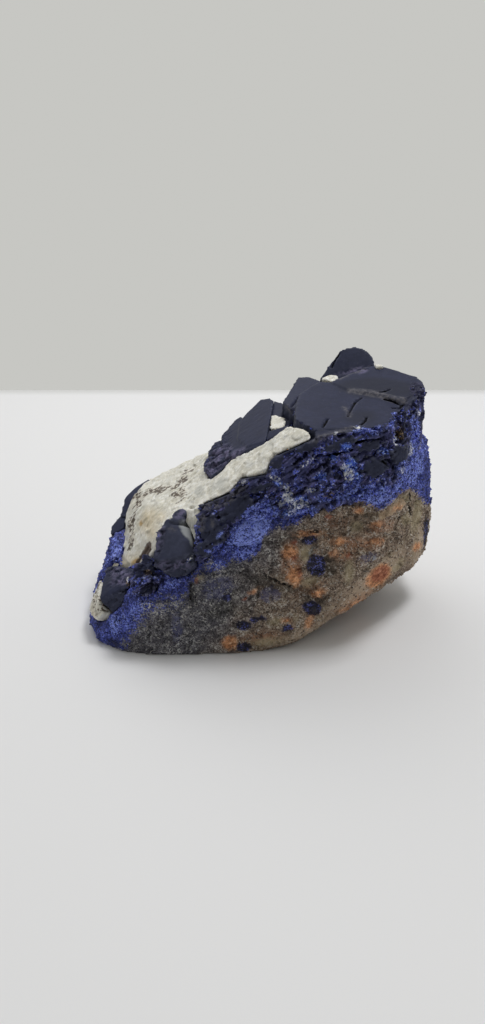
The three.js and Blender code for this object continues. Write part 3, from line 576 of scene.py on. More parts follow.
class Nodes:
    """Adds nodes to a tree and joins them. An input is a number, a vector, a colour or a Value."""

    def __init__(self, tree):
        self.tree = tree
        self.where = None

    def node(self, kind, inputs=None, **settings):
        node = self.tree.nodes.new(kind)
        for name, value in settings.items():
            setattr(node, name, value)
        for key, value in (inputs or {}).items():
            self.join(node.inputs[key], value)
        return node

    def join(self, socket, value):
        if isinstance(value, Value):
            self.tree.links.new(value.socket, socket)
        elif socket.type == "RGBA" and len(value) == 3:
            socket.default_value = (*value, 1)
        else:
            socket.default_value = value

    def output(self, kind, inputs=None, output=0, **settings):
        return Value(self, self.node(kind, inputs, **settings).outputs[output])

    def outputs(self, kind, inputs=None, **settings):
        return {socket.name: Value(self, socket) for socket in self.node(kind, inputs, **settings).outputs}

    def math(self, operation, *values, **settings):
        """Works on vectors where the first value is one."""
        of_vectors = isinstance(values[0], Value) and values[0].is_vector
        kind = "ShaderNodeVectorMath" if of_vectors else "ShaderNodeMath"
        output = "Value" if operation == "DOT_PRODUCT" or not of_vectors else "Vector"
        return self.output(kind, dict(enumerate(values)), output, operation=operation, **settings)

    def scaled(self, vector, factor):
        return self.output("ShaderNodeVectorMath", {0: vector, "Scale": factor}, operation="SCALE")

    def field(self, name):
        """What is stored on the mesh under a name."""
        settings = {"attribute_name": name, "attribute_type": "GEOMETRY"}
        return self.output("ShaderNodeAttribute", None, "Fac", **settings)

    def noise(self, scale, detail=2.0, roughness=0.5, where=None, output=0):
        """Smooth noise about 0.5, with scale waves to the metre."""
        inputs = {"Vector": where or self.where, "Scale": scale, "Detail": detail, "Roughness": roughness}
        return self.output("ShaderNodeTexNoise", inputs, output)

    def bend(self, where, scale, reach):
        """Coordinates pushed about by noise."""
        return where + (self.noise(scale, 1.0, where=where, output="Color") - HALF) * reach

    def cells(self, scale, where=None, randomness=1.0):
        inputs = {"Vector": where or self.where, "Scale": scale, "Randomness": randomness}
        return self.outputs("ShaderNodeTexVoronoi", inputs)

    def stretched(self, where, direction, squeeze):
        """Coordinates that draw a pattern out along a direction, to 1 / squeeze of its usual pace."""
        return where + self.scaled(direction, where.dot(direction) * (squeeze - 1.0))

    def group(self, name, **inputs):
        """Places a shader group, and gives its output or outputs."""
        node = self.node("ShaderNodeGroup", node_tree=bpy.data.node_groups[name])
        self.join(node.inputs["Where"], inputs.pop("where", self.where))
        for key, value in inputs.items():
            self.join(node.inputs[key.replace("_", " ").title()], value)
        made = [Value(self, socket) for socket in node.outputs]
        return made[0] if len(made) == 1 else made

    def give(self, **outputs):
        """Joins what a tree works out to its outputs."""
        self.node("NodeGroupOutput", outputs)
        return self.tree


def new_tree(name, kind, inputs, outputs):
    """A tree with its sockets: each input's name has its kind and usual value, each output's its kind."""
    tree = bpy.data.node_groups.new(name, kind)
    for socket, (socket_kind, value) in inputs.items():
        made = tree.interface.new_socket(name=socket, in_out="INPUT", socket_type=socket_kind)
        if value is not None:
            made.default_value = value
    for socket, socket_kind in outputs.items():
        tree.interface.new_socket(name=socket, in_out="OUTPUT", socket_type=socket_kind)
    nodes = Nodes(tree)
    return nodes, nodes.outputs("NodeGroupInput")


# ---------------------------------------------------------------- shaping by geometry nodes

# How bent, in metres, a surface is where a worn edge or a hollow begins, and where it is full.
EDGE_BENDS = (0.00003, 0.00025)


def named(nodes, name):
    return nodes.output("GeometryNodeInputNamedAttribute", {"Name": name}, "Attribute", data_type="FLOAT")


def stored(nodes, geometry, name, value, domain="POINT"):
    inputs = {"Geometry": geometry, "Name": name, "Value": value}
    return nodes.output("GeometryNodeStoreNamedAttribute", inputs, data_type="FLOAT", domain=domain)


def curvature(nodes, steps):
    """How far the surface around a point lies below it, in metres: above 0 on edges, below 0 in hollows."""
    position = nodes.output("GeometryNodeInputPosition")
    inputs = {"Value": position, "Iterations": steps}
    blurred = nodes.output("GeometryNodeBlurAttribute", inputs, data_type="FLOAT_VECTOR")
    return (position - blurred).dot(nodes.output("GeometryNodeInputNormal"))


def broken_facets(nodes, position, size, seed):
    """Flat facets, each tilted its own way, as stone breaks. The height is in metres."""
    where = nodes.bend(position + nodes.scaled((1, -1, 2), seed), 1.6 / size, size * 0.6)
    cells = nodes.cells(1.0 / size, where)
    return (where - cells["Position"]).dot(cells["Color"] - HALF)


def new_shaping(name, values):
    """A tree that changes a mesh and gives it a material."""
    inputs = {"Geometry": (GEOMETRY, None), "Material": (MATERIAL, None)}
    for socket, value in values.items():
        inputs[socket] = (WHOLE if socket == "Random Seed" else FLOAT, value)
    return new_tree(name, "GeometryNodeTree", inputs, {"Geometry": GEOMETRY})


def finish_shaping(nodes, geometry, material):
    made = nodes.output("GeometryNodeRealizeInstances", {"Geometry": geometry})
    made = nodes.output("GeometryNodeSetMaterial", {"Geometry": made, "Material": material})
    return nodes.give(Geometry=made)


def build_weathering():
    """Turns a plain solid's surface into weathered stone. Sizes and heights are in mm."""
    nodes, given = new_shaping("weathering", {
        "Swell": 0.3, "Lump Size": 9, "Lump Height": 0.6, "Facet Size": 4, "Facet Height": 1,
        "Chip Size": 1.6, "Chip Height": 0.6, "Grain Size": 0.9, "Grain Height": 0.15, "Edge Wear": 0.5,
        "Squeeze": 1, "Seed": 0.1,
    })

    def metres(name):
        return given[name] * MM

    seed = given["Seed"]
    position = nodes.output("GeometryNodeInputPosition")
    nodes.where = position + nodes.scaled((1, 2, 3), seed)
    lump = (nodes.noise(1.0 / metres("Lump Size"), 3) - 0.5) * 2.0
    lumps = lump * metres("Lump Height") * named(nodes, "wavy")

    drawn_out = nodes.stretched(position, CLEAVAGE, given["Squeeze"])
    facets = broken_facets(nodes, drawn_out, metres("Facet Size"), seed) * given["Facet Height"]
    chips = broken_facets(nodes, drawn_out, metres("Chip Size"), seed) * given["Chip Height"]
    grain = (0.5 - nodes.cells(1.0 / metres("Grain Size"))["Distance"]) * metres("Grain Height")
    hackly = (facets + chips + grain * named(nodes, "grainy")) * named(nodes, "rough")

    nibble = nodes.noise(300.0, 3).ramp(0.42, 0.66)
    wear = curvature(nodes, 6).ramp(0.00004, 0.0004) * nibble * metres("Edge Wear")
    height = (lumps + hackly + named(nodes, "relief") * MM + metres("Swell") - wear) * named(nodes, "under")
    offset = nodes.output("GeometryNodeInputNormal") * height
    geometry = nodes.output("GeometryNodeSetPosition", {"Geometry": given["Geometry"], "Offset": offset})
    bent = curvature(nodes, 3)
    geometry = stored(nodes, geometry, "edge", bent.ramp(*EDGE_BENDS))
    geometry = stored(nodes, geometry, "hollow", (0.0 - bent).ramp(*EDGE_BENDS))
    geometry = nodes.output("GeometryNodeSetShadeSmooth", {"Geometry": geometry, "Shade Smooth": True})
    return finish_shaping(nodes, geometry, given["Material"])


def random_values(nodes, kind, low, high, salt):
    node = nodes.node("FunctionNodeRandomValue", {"Seed": salt}, data_type=kind)
    lowest, highest = [socket for socket in node.inputs if socket.enabled and socket.name in ("Min", "Max")]
    nodes.join(lowest, low)
    nodes.join(highest, high)
    return Value(nodes, next(socket for socket in node.outputs if socket.enabled))


def build_graining():
    """Scatters small angular grains over a surface, where its grains field says. Sizes are in mm."""
    nodes, given = new_shaping(
        "graining", {"Per Square mm": 0.8, "Smallest": 0.4, "Largest": 1.0, "Random Seed": 1})
    density = nodes.math("DIVIDE", given["Per Square mm"], MM * MM) * named(nodes, "grains")
    inputs = {"Mesh": given["Geometry"], "Density": density, "Seed": given["Random Seed"]}
    points = nodes.output("GeometryNodeDistributePointsOnFaces", inputs, distribute_method="RANDOM")
    shape = random_values(nodes, "FLOAT_VECTOR", (0.6, 0.7, 0.9), (1.0, 1.15, 1.4), 3)
    size = random_values(nodes, "FLOAT", given["Smallest"], given["Largest"], 4)
    turn = random_values(nodes, "FLOAT_VECTOR", (0, 0, 0), (math.tau, math.tau, math.tau), 5)
    placed = nodes.output("GeometryNodeInstanceOnPoints", {
        "Points": points,
        "Instance": nodes.output("GeometryNodeMeshCube", {"Size": (MM, MM, MM)}),
        "Rotation": nodes.output("FunctionNodeEulerToRotation", {0: turn}),
        "Scale": shape * size,
    })
    placed = stored(nodes, placed, "tint", random_values(nodes, "FLOAT", 0.0, 1.0, 6), "INSTANCE")
    return finish_shaping(nodes, placed, given["Material"])


# ---------------------------------------------------------------- shader groups

def new_group(name, numbers, outputs, colours=()):
    """A shader group: it takes coordinates, numbers, each with its usual value, and colours."""
    inputs = {"Where": (VECTOR, None)}
    inputs.update({socket: (COLOUR, None) for socket in colours})
    inputs.update({socket: (FLOAT, value) for socket, value in numbers.items()})
    kinds = {socket: COLOUR if socket == "Colour" else FLOAT for socket in outputs}
    nodes, given = new_tree(name, "ShaderNodeTree", inputs, kinds)
    nodes.where = given["Where"]
    return nodes, given


def build_ragged_mask():
    """A mask with a ragged edge from a field in mm that is above 0 inside."""
    nodes, given = new_group("ragged mask", {"Field": 0.0, "Reach": 3.0, "Size": 2.0, "Soft": 0.4}, ["Mask"])
    noise = nodes.noise(1 / MM / given["Size"], 4, 0.65) - 0.5
    field = given["Field"] + noise * (given["Reach"] * 2.0)
    nodes.give(Mask=field.ramp(0.0 - given["Soft"], given["Soft"]))


def build_grain_tone():
    """A tone for each grain of a granular rock, with finer speckle on it, and the grains' height."""
    nodes, given = new_group("grain tone", {"Size": 0.9, "Speckle": 0.4}, ["Tone", "Height"])
    scale = 1 / MM / given["Size"]
    where = nodes.bend(nodes.where, scale, given["Size"] * MM)
    cells = nodes.cells(scale, where)
    finer = nodes.cells(scale * 2.1, where)
    speck = (finer["Color"].channel(1) - 0.5) * given["Speckle"]
    tone = nodes.math("ADD", cells["Color"].channel(0), speck, use_clamp=True)
    height = 1.0 - (cells["Distance"] + finer["Distance"] * 0.4)
    nodes.give(Tone=tone, Height=height)


def build_hollow_shade():
    """Darkens a colour in hollows, where dust and shade gather, and lightens it on worn edges."""
    colours = ["Colour", "Hollow Colour", "Edge Colour"]
    nodes, given = new_group("hollows and worn edges", {"Hollow": 0.5, "Edge": 0.3}, ["Colour"], colours)
    edge = nodes.field("edge") * nodes.noise(700.0).ramp(0.4, 0.65)
    nodes.give(Colour=given["Colour"].covered(
        (given["Hollow Colour"], nodes.field("hollow") * given["Hollow"]),
        (given["Edge Colour"], edge * given["Edge"]),
    ))


def build_crack_mask():
    """A thin jagged line where the distance to a crack is small, wider in some places than in others."""
    nodes, given = new_group("cracks", {"Width": 0.25}, ["Mask"])
    jag = nodes.noise(900.0, 3, 0.6) - 0.5
    away = jag * 1.1 + nodes.field("crack")
    width = given["Width"] * nodes.noise(240.0).ramp(0.35, 0.65, 0.4, 1.5)
    nodes.give(Mask=(width - away).ramp(-0.12, 0.12))


def build_blue_grain():
    """Granular lazurite: navy with brighter ultramarine grains, more of them where it is bright."""
    nodes, given = new_group("granular blue", {"Size": 0.6, "Bright": 0.0}, ["Colour"])
    tone, _ = nodes.group("grain tone", size=given["Size"], speckle=0.5)
    drift = nodes.noise(150.0, 3).ramp(0.32, 0.68, 0.5, 1.2)
    tone = tone * (given["Bright"] * 0.42 + drift) + given["Bright"] * 0.06
    nodes.give(Colour=tone.tones(BLUE_STOPS))


# ---------------------------------------------------------------- colours

BLUE_STOPS = [
    (0.0, (0.014, 0.017, 0.060)), (0.28, (0.045, 0.056, 0.215)), (0.6, (0.095, 0.125, 0.52)),
    (0.86, (0.158, 0.205, 0.82)), (1.0, (0.33, 0.42, 1.0)),
]
AZURE_STOPS = [
    (0.0, (0.012, 0.018, 0.09)), (0.3, (0.045, 0.075, 0.38)), (0.6, (0.11, 0.20, 0.86)),
    (0.85, (0.22, 0.38, 1.0)), (1.0, (0.70, 0.79, 1.0)),
]
# The palest stops of the grey and brown stone, at 0.95 and 1, are pale flecks of the stone and partly
# painted glints.
GREY_STOPS = [
    (0.0, (0.036, 0.036, 0.044)), (0.3, (0.120, 0.118, 0.140)), (0.6, (0.228, 0.226, 0.252)),
    (0.85, (0.36, 0.36, 0.375)), (0.95, (0.58, 0.58, 0.58)), (1.0, (0.82, 0.82, 0.81)),
]
BROWN_STOPS = [
    (0.0, (0.090, 0.065, 0.046)), (0.3, (0.27, 0.192, 0.133)), (0.6, (0.43, 0.316, 0.220)),
    (0.85, (0.58, 0.46, 0.345)), (0.95, (0.70, 0.61, 0.50)), (1.0, (0.82, 0.77, 0.70)),
]
RUST_STOPS = [
    (0.0, (0.31, 0.142, 0.066)), (0.4, (0.74, 0.335, 0.16)), (0.75, (0.96, 0.50, 0.25)),
    (1.0, (1.0, 0.68, 0.42)),
]
RED_STOPS = [(0.0, (0.22, 0.062, 0.034)), (0.5, (0.42, 0.135, 0.074)), (1.0, (0.68, 0.27, 0.15))]
CHIP_STOPS = [
    (0.0, (0.014, 0.015, 0.032)), (0.6, (0.045, 0.049, 0.12)), (0.85, (0.085, 0.10, 0.36)),
    (1.0, (0.22, 0.25, 0.56)),
]
WHITE_STOPS = [
    (0.0, (0.09, 0.12, 0.40)), (0.25, (0.34, 0.40, 0.76)), (0.5, (0.70, 0.75, 0.90)),
    (1.0, (0.92, 0.94, 0.96)),
]
TAN = (0.50, 0.42, 0.27)
NAVY = (0.012, 0.012, 0.032)
ROCK_SHADE = (0.030, 0.030, 0.027)


# ---------------------------------------------------------------- materials

class Finish(Nodes):
    """The nodes of one material, in the object's own coordinates."""

    def __init__(self, name):
        self.material = bpy.data.materials.new(name)
        self.material.use_nodes = True
        self.material.node_tree.nodes.clear()
        super().__init__(self.material.node_tree)
        self.where = self.output("ShaderNodeTexCoord", None, "Object")

    def ragged(self, field, reach, size, soft, **where):
        return self.group("ragged mask", field=field, reach=reach, size=size, soft=soft, **where)

    def patch(self, name, reach, size, soft, strength):
        return self.ragged(self.field(name), reach, size, soft) * strength

    def shaded(self, colour, hollow_colour, hollow, edge_colour, edge):
        hollows = {"hollow_colour": hollow_colour, "hollow": hollow}
        return self.group("hollows and worn edges", colour=colour, edge_colour=edge_colour,
                          edge=edge, **hollows)

    def finished(self, colour, roughness, height, strength, depth_mm, **values):
        bump = {"Height": height, "Strength": strength, "Distance": depth_mm * MM}
        shader = self.node("ShaderNodeBsdfPrincipled", {
            "Base Color": colour, "Roughness": roughness, "Normal": self.output("ShaderNodeBump", bump)})
        for name, value in values.items():
            shader.inputs[name.replace("_", " ")].default_value = value
        self.node("ShaderNodeOutputMaterial", {"Surface": Value(self, shader.outputs[0])})
        return self.material


def rock_ground(nodes, tone, drift):
    """Grey stone that turns brown on the right, with pale bevels, warm stretches, painted shade in hollows,
    and strokes.
    """
    brown, orange = nodes.field("brown"), nodes.field("orange")
    brownness = brown + (nodes.noise(110.0, 3) - 0.5) * 0.9
    along = nodes.stretched(nodes.where, (1, 0, 0.1), 0.4)
    stroke = abs(nodes.noise(480.0) - 0.5).ramp(0.035, 0.008) * nodes.noise(700.0).ramp(0.5, 0.6)
    colour = brownness.ramp(0.05, 1.05, 0.04, 0.85).blend(tone.tones(GREY_STOPS), tone.tones(BROWN_STOPS))
    return colour.covered(
        ((0.56, 0.43, 0.31), nodes.field("bevel") * drift.ramp(0.3, 0.7, 0.45, 0.85)),
        ((0.38, 0.31, 0.205), nodes.noise(140.0, 3).ramp(0.5, 0.72) * brown * 0.5),
        ((0.56, 0.27, 0.145), nodes.ragged(orange, 0.8, 1.6, 0.9, where=along) * orange * 0.5),
        (ROCK_SHADE, nodes.field("shade") * 0.55),
        ((0.72, 0.69, 0.64), stroke * 0.75),
    )


def rock_material():
    nodes = Finish("host rock")
    grain, height = nodes.group("grain tone", size=0.52, speckle=0.6)
    drift = nodes.noise(75.0, 4)
    blotch = nodes.noise(280.0, 4, 0.62).ramp(0.34, 0.62, 0.5, 1.14)
    tone = grain * drift.ramp(0.28, 0.72, 0.66, 1.08) * blotch
    grit = tone * 0.5 + nodes.noise(620.0).ramp(0.35, 0.7, 0.0, 0.6)
    by_grain = (tone - 0.35) * -2.4 + nodes.field("blue")
    # The blue's brightness is partly painted light under the cluster.
    blue = nodes.group("granular blue", size=0.5, bright=nodes.field("bright"))
    colour = rock_ground(nodes, tone, drift).covered(
        (TAN, nodes.patch("tan", 1.2, 2.0, 1.2, 0.7)),
        (grit.blend((0.40, 0.27, 0.17), (0.58, 0.44, 0.29)), nodes.patch("slab", 0.4, 1.5, 0.3, 0.85)),
        (grit.tones(RUST_STOPS), nodes.patch("rust", 1.6, 2.0, 1.1, 0.95)),
        (grit.tones(RED_STOPS), nodes.patch("red", 0.9, 1.2, 0.7, 0.85)),
        ((0.62, 0.62, 0.60), nodes.patch("white", 0.7, 1.0, 0.3, 0.9)),
        ((0.095, 0.105, 0.25), nodes.patch("faint", 2.4, 1.2, 0.8, 0.5)),
        (blue, nodes.ragged(by_grain, 2.4, 2.6, 0.8)),
        (tone.ramp(0.45, 0.85).blend(NAVY, (0.11, 0.13, 0.46)), nodes.patch("spots", 1.0, 1.1, 0.4, 0.95)),
        ((0.010, 0.007, 0.007), nodes.group("cracks", width=0.45) * 0.9),
    )
    colour = nodes.shaded(colour, (0.018, 0.015, 0.015), 0.28, (0.52, 0.50, 0.47), 0.12)
    roughness = tone.ramp(0.5, 1.0, 0.8, 0.42)
    return nodes.finished(colour, roughness, height, 0.6, 0.3, Specular_IOR_Level=0.3)


def clean_face(nodes, drift):
    """A smooth, nearly black crystal face with dust, painted shade and painted light on some faces,
    mottling, grazes and a film of calcite.
    """
    mottle = nodes.noise(520.0, 4, 0.65).ramp(0.35, 0.65)
    grazed = nodes.field("grazed") * nodes.noise(480.0, 3).ramp(0.38, 0.6)
    return drift.ramp(0.3, 0.7).blend((0.030, 0.034, 0.066), (0.038, 0.043, 0.081)).covered(
        ((0.16, 0.16, 0.19), nodes.noise(1300.0).ramp(0.64, 0.8) * 0.4),
        # Painted shade: faces that reflect less light are painted darker.
        ((0.024, 0.026, 0.038), nodes.field("deep") * 0.6),
        # Painted light: steep sides and some whole crystals are painted paler.
        ((0.082, 0.090, 0.132), nodes.field("hazy") * 0.42),
        ((0.022, 0.024, 0.040), mottle * 0.3),
        ((0.185, 0.170, 0.285), grazed * 0.8),
        ((0.40, 0.42, 0.43), nodes.patch("film", 0.5, 1.5, 0.5, 0.8)),
    )


def broken_face(nodes, drift, tone):
    """A broken face: navy with splinters along the cleavage, and blue and pale chips in patches."""
    along = nodes.stretched(nodes.where, CLEAVAGE, 0.28)
    patchy = nodes.noise(210.0, 3).ramp(0.5, 0.6)
    return drift.ramp(0.35, 0.65).blend((0.022, 0.024, 0.050), (0.080, 0.086, 0.21)).covered(
        ((0.18, 0.175, 0.42), nodes.noise(620.0, 3, 0.6, along).ramp(0.5, 0.66) * 0.75),
        ((0.14, 0.19, 0.86), tone.ramp(0.55, 0.75) * patchy),
        ((0.66, 0.70, 0.88), tone.ramp(0.92, 0.98) * patchy * 0.8),
    )


def crystal_material():
    nodes = Finish("lazurite")
    rough, drift = nodes.field("rough"), nodes.noise(90.0, 4)
    tone, height = nodes.group("grain tone", size=0.7, speckle=0.5)
    broken = nodes.ragged(nodes.field("broken").ramp(0.0, 1.0, -1.5, 0.8), 1.2, 3.0, 0.5)
    pale = nodes.noise(1100.0, 3).ramp(0.35, 0.65, 0.25, 0.9)
    colour = clean_face(nodes, drift).covered(
        (broken_face(nodes, drift, tone), broken),
        # Pale streaks; along the step partly a painted highlight.
        ((0.140, 0.135, 0.152), nodes.patch("pale", 1.3, 1.5, 1.0, pale)),
        ((0.012, 0.013, 0.036), nodes.field("pitted") * 0.7),
        (nodes.group("granular blue", size=0.5, bright=1.6), nodes.patch("blue", 1.3, 1.1, 0.4, 0.9)),
    )
    colour = nodes.shaded(colour, (0.004, 0.004, 0.009), 0.6, (0.17, 0.18, 0.25), 0.4)
    stain = tone.ramp(0.5, 0.9).blend((0.020, 0.012, 0.010), (0.24, 0.17, 0.09))
    crumbs = tone.ramp(0.32, 0.58).blend((0.075, 0.095, 0.36), (0.97, 0.98, 1.0))
    colour = colour.covered(
        (tone.tones(AZURE_STOPS), nodes.patch("azure", 1.3, 1.2, 0.5, 0.95)),
        (stain, nodes.patch("stain", 0.9, 1.2, 0.4, 0.85)),
        (crumbs, nodes.patch("white", 1.0, 0.8, 0.25, 0.95)),
        ((0.001, 0.001, 0.002), nodes.group("cracks", width=0.34)),
    )
    roughness = rough.ramp(0.0, 1.0, 0.42, 0.55) + (drift - 0.5) * 0.25
    relief = height * rough + nodes.noise(900.0, 3) * 0.14
    return nodes.finished(colour, roughness, relief, 0.5, 0.3, Specular_IOR_Level=0.05)


def calcite_ground(nodes, tone):
    """Cloudy white with dull depths, glassy blocks, sugary grains and near-white specks, partly painted
    glints, and with its stains.
    """
    cloud, sugary = nodes.noise(330.0, 4, 0.6), nodes.noise(1000.0, 3, 0.6)
    block = nodes.cells(340.0, randomness=0.8)["Color"].channel(0)
    return nodes.noise(120.0, 4).ramp(0.3, 0.7).blend((0.61, 0.585, 0.50), (0.76, 0.74, 0.67)).covered(
        ((0.84, 0.83, 0.79), cloud.ramp(0.5, 0.62, 0.0, 0.6)),
        ((0.54, 0.51, 0.42), cloud.ramp(0.3, 0.45, 0.3, 0.0)),
        ((0.60, 0.61, 0.60), block.ramp(0.7, 0.75, 0.0, 0.2)),
        ((0.47, 0.45, 0.385), sugary.ramp(0.5, 0.34, 0.0, 0.4)),
        # Near-white specks: pale grains, partly painted glints.
        ((0.95, 0.95, 0.93), sugary.ramp(0.6, 0.7, 0.0, 0.6)),
        ((0.92, 0.92, 0.90), tone.ramp(0.88, 0.96, 0.0, 0.5)),
        ((0.49, 0.49, 0.455), nodes.patch("grey", 1.6, 1.6, 1.0, 0.85)),
        ((0.62, 0.50, 0.30), nodes.patch("yellow", 1.4, 3.5, 3.0, 0.6)),
        ((0.50, 0.30, 0.07), nodes.patch("ochre", 0.6, 1.0, 0.4, 0.8)),
    )


def calcite_material():
    nodes = Finish("calcite")
    tone, height = nodes.group("grain tone", size=1.6, speckle=0.5)
    patchy = nodes.noise(190.0, 3).ramp(0.36, 0.6, 0.15, 1.15)
    strip = (nodes.field("specks") * patchy).ramp(0.1, 0.9)
    lumps = strip * 0.15 + nodes.noise(820.0, where=nodes.stretched(nodes.where, CLEAVAGE, 0.8))
    colour = calcite_ground(nodes, tone).covered(((0.48, 0.43, 0.36), strip * 0.45))
    colour = nodes.shaded(colour, (0.34, 0.30, 0.23), 0.25, (0.90, 0.90, 0.88), 0.25).covered(
        ((0.075, 0.050, 0.032), lumps.ramp(0.6, 0.635) * strip.ramp(0.0, 0.5, 0.15, 0.94)),
        ((0.055, 0.022, 0.010), nodes.patch("brown", 0.9, 0.9, 0.35, 0.97)),
    )
    return nodes.finished(colour, tone.ramp(0.0, 1.0, 0.6, 0.42), height, 0.15, 0.2, Subsurface_Weight=0.4,
                          Subsurface_Scale=0.0015, Subsurface_Radius=(1.0, 0.95, 0.85))


def blue_grain_material():
    """Loose-looking grains on the blue skin, each a shade of its own."""
    nodes = Finish("lazurite grains")
    # The grains' lift with brightness is partly painted light under the cluster.
    tint = nodes.field("tint") * (nodes.field("bright") * 0.35 + 0.8)
    mottle = nodes.noise(1400.0).ramp(0.3, 0.7, 0.65, 1.2)
    roughness = mottle.ramp(0.65, 1.2, 0.5, 0.3)
    return nodes.finished(tint.tones(BLUE_STOPS) * mottle, roughness, mottle, 0.3, 0.2)


def rock_grain_material():
    """Grains standing on the grey and brown rock."""
    nodes = Finish("rock grains")
    tint, mottle = nodes.field("tint"), nodes.noise(1400.0)
    dulled = tint * 0.97
    brownness = nodes.field("brown").ramp(0.1, 1.0, 0.04, 0.85)
    colour = brownness.blend(dulled.tones(GREY_STOPS), dulled.tones(BROWN_STOPS)).covered(
        (TAN, nodes.patch("tan", 1.2, 2.0, 1.2, 0.7)),
        (tint.tones(RUST_STOPS), nodes.patch("rust", 1.6, 2.0, 1.1, 0.85)),
        (tint.tones(RED_STOPS), nodes.patch("red", 0.9, 1.2, 0.7, 0.85)),
        (NAVY, nodes.patch("spots", 1.0, 1.1, 0.4, 0.9)),
        (ROCK_SHADE, nodes.field("shade") * 0.55),
        ((0.03, 0.028, 0.03), mottle.ramp(0.4, 0.7, 0.0, 0.4)),
    )
    return nodes.finished(colour, tint.ramp(0.5, 1.0, 0.75, 0.35), mottle, 0.4, 0.2)


def chip_material():
    """Chips on the crystals' broken faces: dark, blue or whitish, as the ground they stand on."""
    nodes = Finish("lazurite chips")
    tint, mottle = nodes.field("tint"), nodes.noise(1400.0)
    colour = tint.tones(CHIP_STOPS).covered(
        (tint.tones(BLUE_STOPS), nodes.field("blue").ramp(-0.8, 0.6)),
        (tint.tones(AZURE_STOPS), nodes.field("azure").ramp(-0.8, 0.6)),
        (tint.tones(WHITE_STOPS), nodes.field("white").ramp(-0.6, 0.5)),
        ((0.006, 0.007, 0.016), mottle.ramp(0.45, 0.7, 0.0, 0.5)),
    )
    return nodes.finished(colour, mottle.ramp(0.3, 0.7, 0.5, 0.3), mottle, 0.3, 0.2, Specular_IOR_Level=0.4)


# ---------------------------------------------------------------- pieces

def link(name, data):
    piece = bpy.data.objects.new(name, data)
    bpy.context.scene.collection.objects.link(piece)
    return piece


def settle(piece):
    """Makes the result of a piece's modifiers its mesh."""
    depsgraph = bpy.context.evaluated_depsgraph_get()
    mesh = bpy.data.meshes.new_from_object(
        piece.evaluated_get(depsgraph), preserve_all_data_layers=True, depsgraph=depsgraph)
    piece.modifiers.clear()
    piece.data = mesh
    mesh.name = piece.name


def fine_copy(name, node, voxel_mm):
    """A copy of a CAD node with an even, fine mesh."""
    shape = bmesh.new()
    shape.from_mesh(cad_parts[node].data)
    bmesh.ops.remove_doubles(shape, verts=shape.verts, dist=WELD)
    mesh = bpy.data.meshes.new(name)
    shape.to_mesh(mesh)
    shape.free()
    piece = link(name, mesh)
    remesh = piece.modifiers.new("even", "REMESH")
    remesh.mode = "VOXEL"
    remesh.voxel_size = voxel_mm * MM * COARSE
    settle(piece)
    return piece


def run_tree(piece, tree, **values):
    modifier = piece.modifiers.new(tree.name, "NODES")
    modifier.node_group = tree
    for item in tree.interface.items_tree:
        name = item.name.lower().replace(" ", "_")
        if item.in_out == "INPUT" and name in values:
            modifier[item.identifier] = values[name]
    settle(piece)


def dress(piece, material, slot, *nodes):
    if not piece.data.materials:
        piece.data.materials.append(material)
    piece.data.materials[0] = material
    if nodes:
        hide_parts(*nodes)
    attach(piece, "root")


def weather(piece, material, slot, node, **values):
    run_tree(piece, weathering, material=material, **values)
    dress(piece, material, slot, node)


def grain_piece(name, surface, density, material, slot, **values):
    """Grains standing on a finished surface, as a piece of their own."""
    piece = link(name, surface.data.copy())
    store(piece.data, grains=density(piece.data))
    run_tree(piece, graining, material=material, **values)
    dress(piece, material, slot)


def blue_density(mesh):
    return ramp(read(mesh, "blue"), -0.6, 1.5) * read(mesh, "under")


def rock_density(mesh):
    bare = ramp(read(mesh, "blue"), 1.5, -1.5) * ramp(read(mesh, "slab"), 0.3, -0.3)
    return (0.25 + 0.75 * read(mesh, "rough")) * bare * read(mesh, "under")


def chip_density(mesh):
    patches = [ramp(read(mesh, name), -0.8, 0.8) for name in ("blue", "azure", "white")]
    others = np.maximum(0.05 * read(mesh, "broken"), 0.25 * read(mesh, "pitted"))
    return np.maximum(np.max(patches, axis=0), others)


# ---------------------------------------------------------------- building

weathering = build_weathering()
graining = build_graining()
build_ragged_mask()
build_grain_tone()
build_hollow_shade()
build_crack_mask()
build_blue_grain()

rock = fine_copy("rock_surface", "host_rock", ROCK_VOXEL)
rock_fields(rock.data)
weather(rock, rock_material(), "host_rock", "host_rock", swell=0.1, lump_size=11, lump_height=0.7,
        facet_size=5, facet_height=0.4, chip_size=2, chip_height=0.4, grain_size=1.1, grain_height=0.2,
        edge_wear=0.4, seed=0.31)

lazurite = crystal_material()
crystals = {}
for number, node in enumerate(CRYSTAL_NODES):
    crystals[node] = fine_copy(node + "_surface", node, CRYSTAL_VOXEL)
    crystal_fields(crystals[node].data, node)
    weather(crystals[node], lazurite, "lazurite", node, swell=0.1, lump_size=5, lump_height=0.45,
            facet_size=3.2, facet_height=1.4, chip_size=1.4, chip_height=1.2, grain_size=0.9,
            grain_height=0.1, edge_wear=0.15, squeeze=0.45, seed=0.07 * number)

white_stone = calcite_material()
for number, node in enumerate(CALCITE_NODES):
    calcite = fine_copy(node + "_surface", node, CALCITE_VOXEL)
    calcite_fields(calcite.data, node)
    weather(calcite, white_stone, "calcite", node, swell=0.2, lump_size=9, lump_height=0.5, facet_size=4.5,
            facet_height=0.36, chip_size=1.7, chip_height=0.18, grain_size=1.4, grain_height=0.03,
            edge_wear=0.2, seed=0.11 * number)

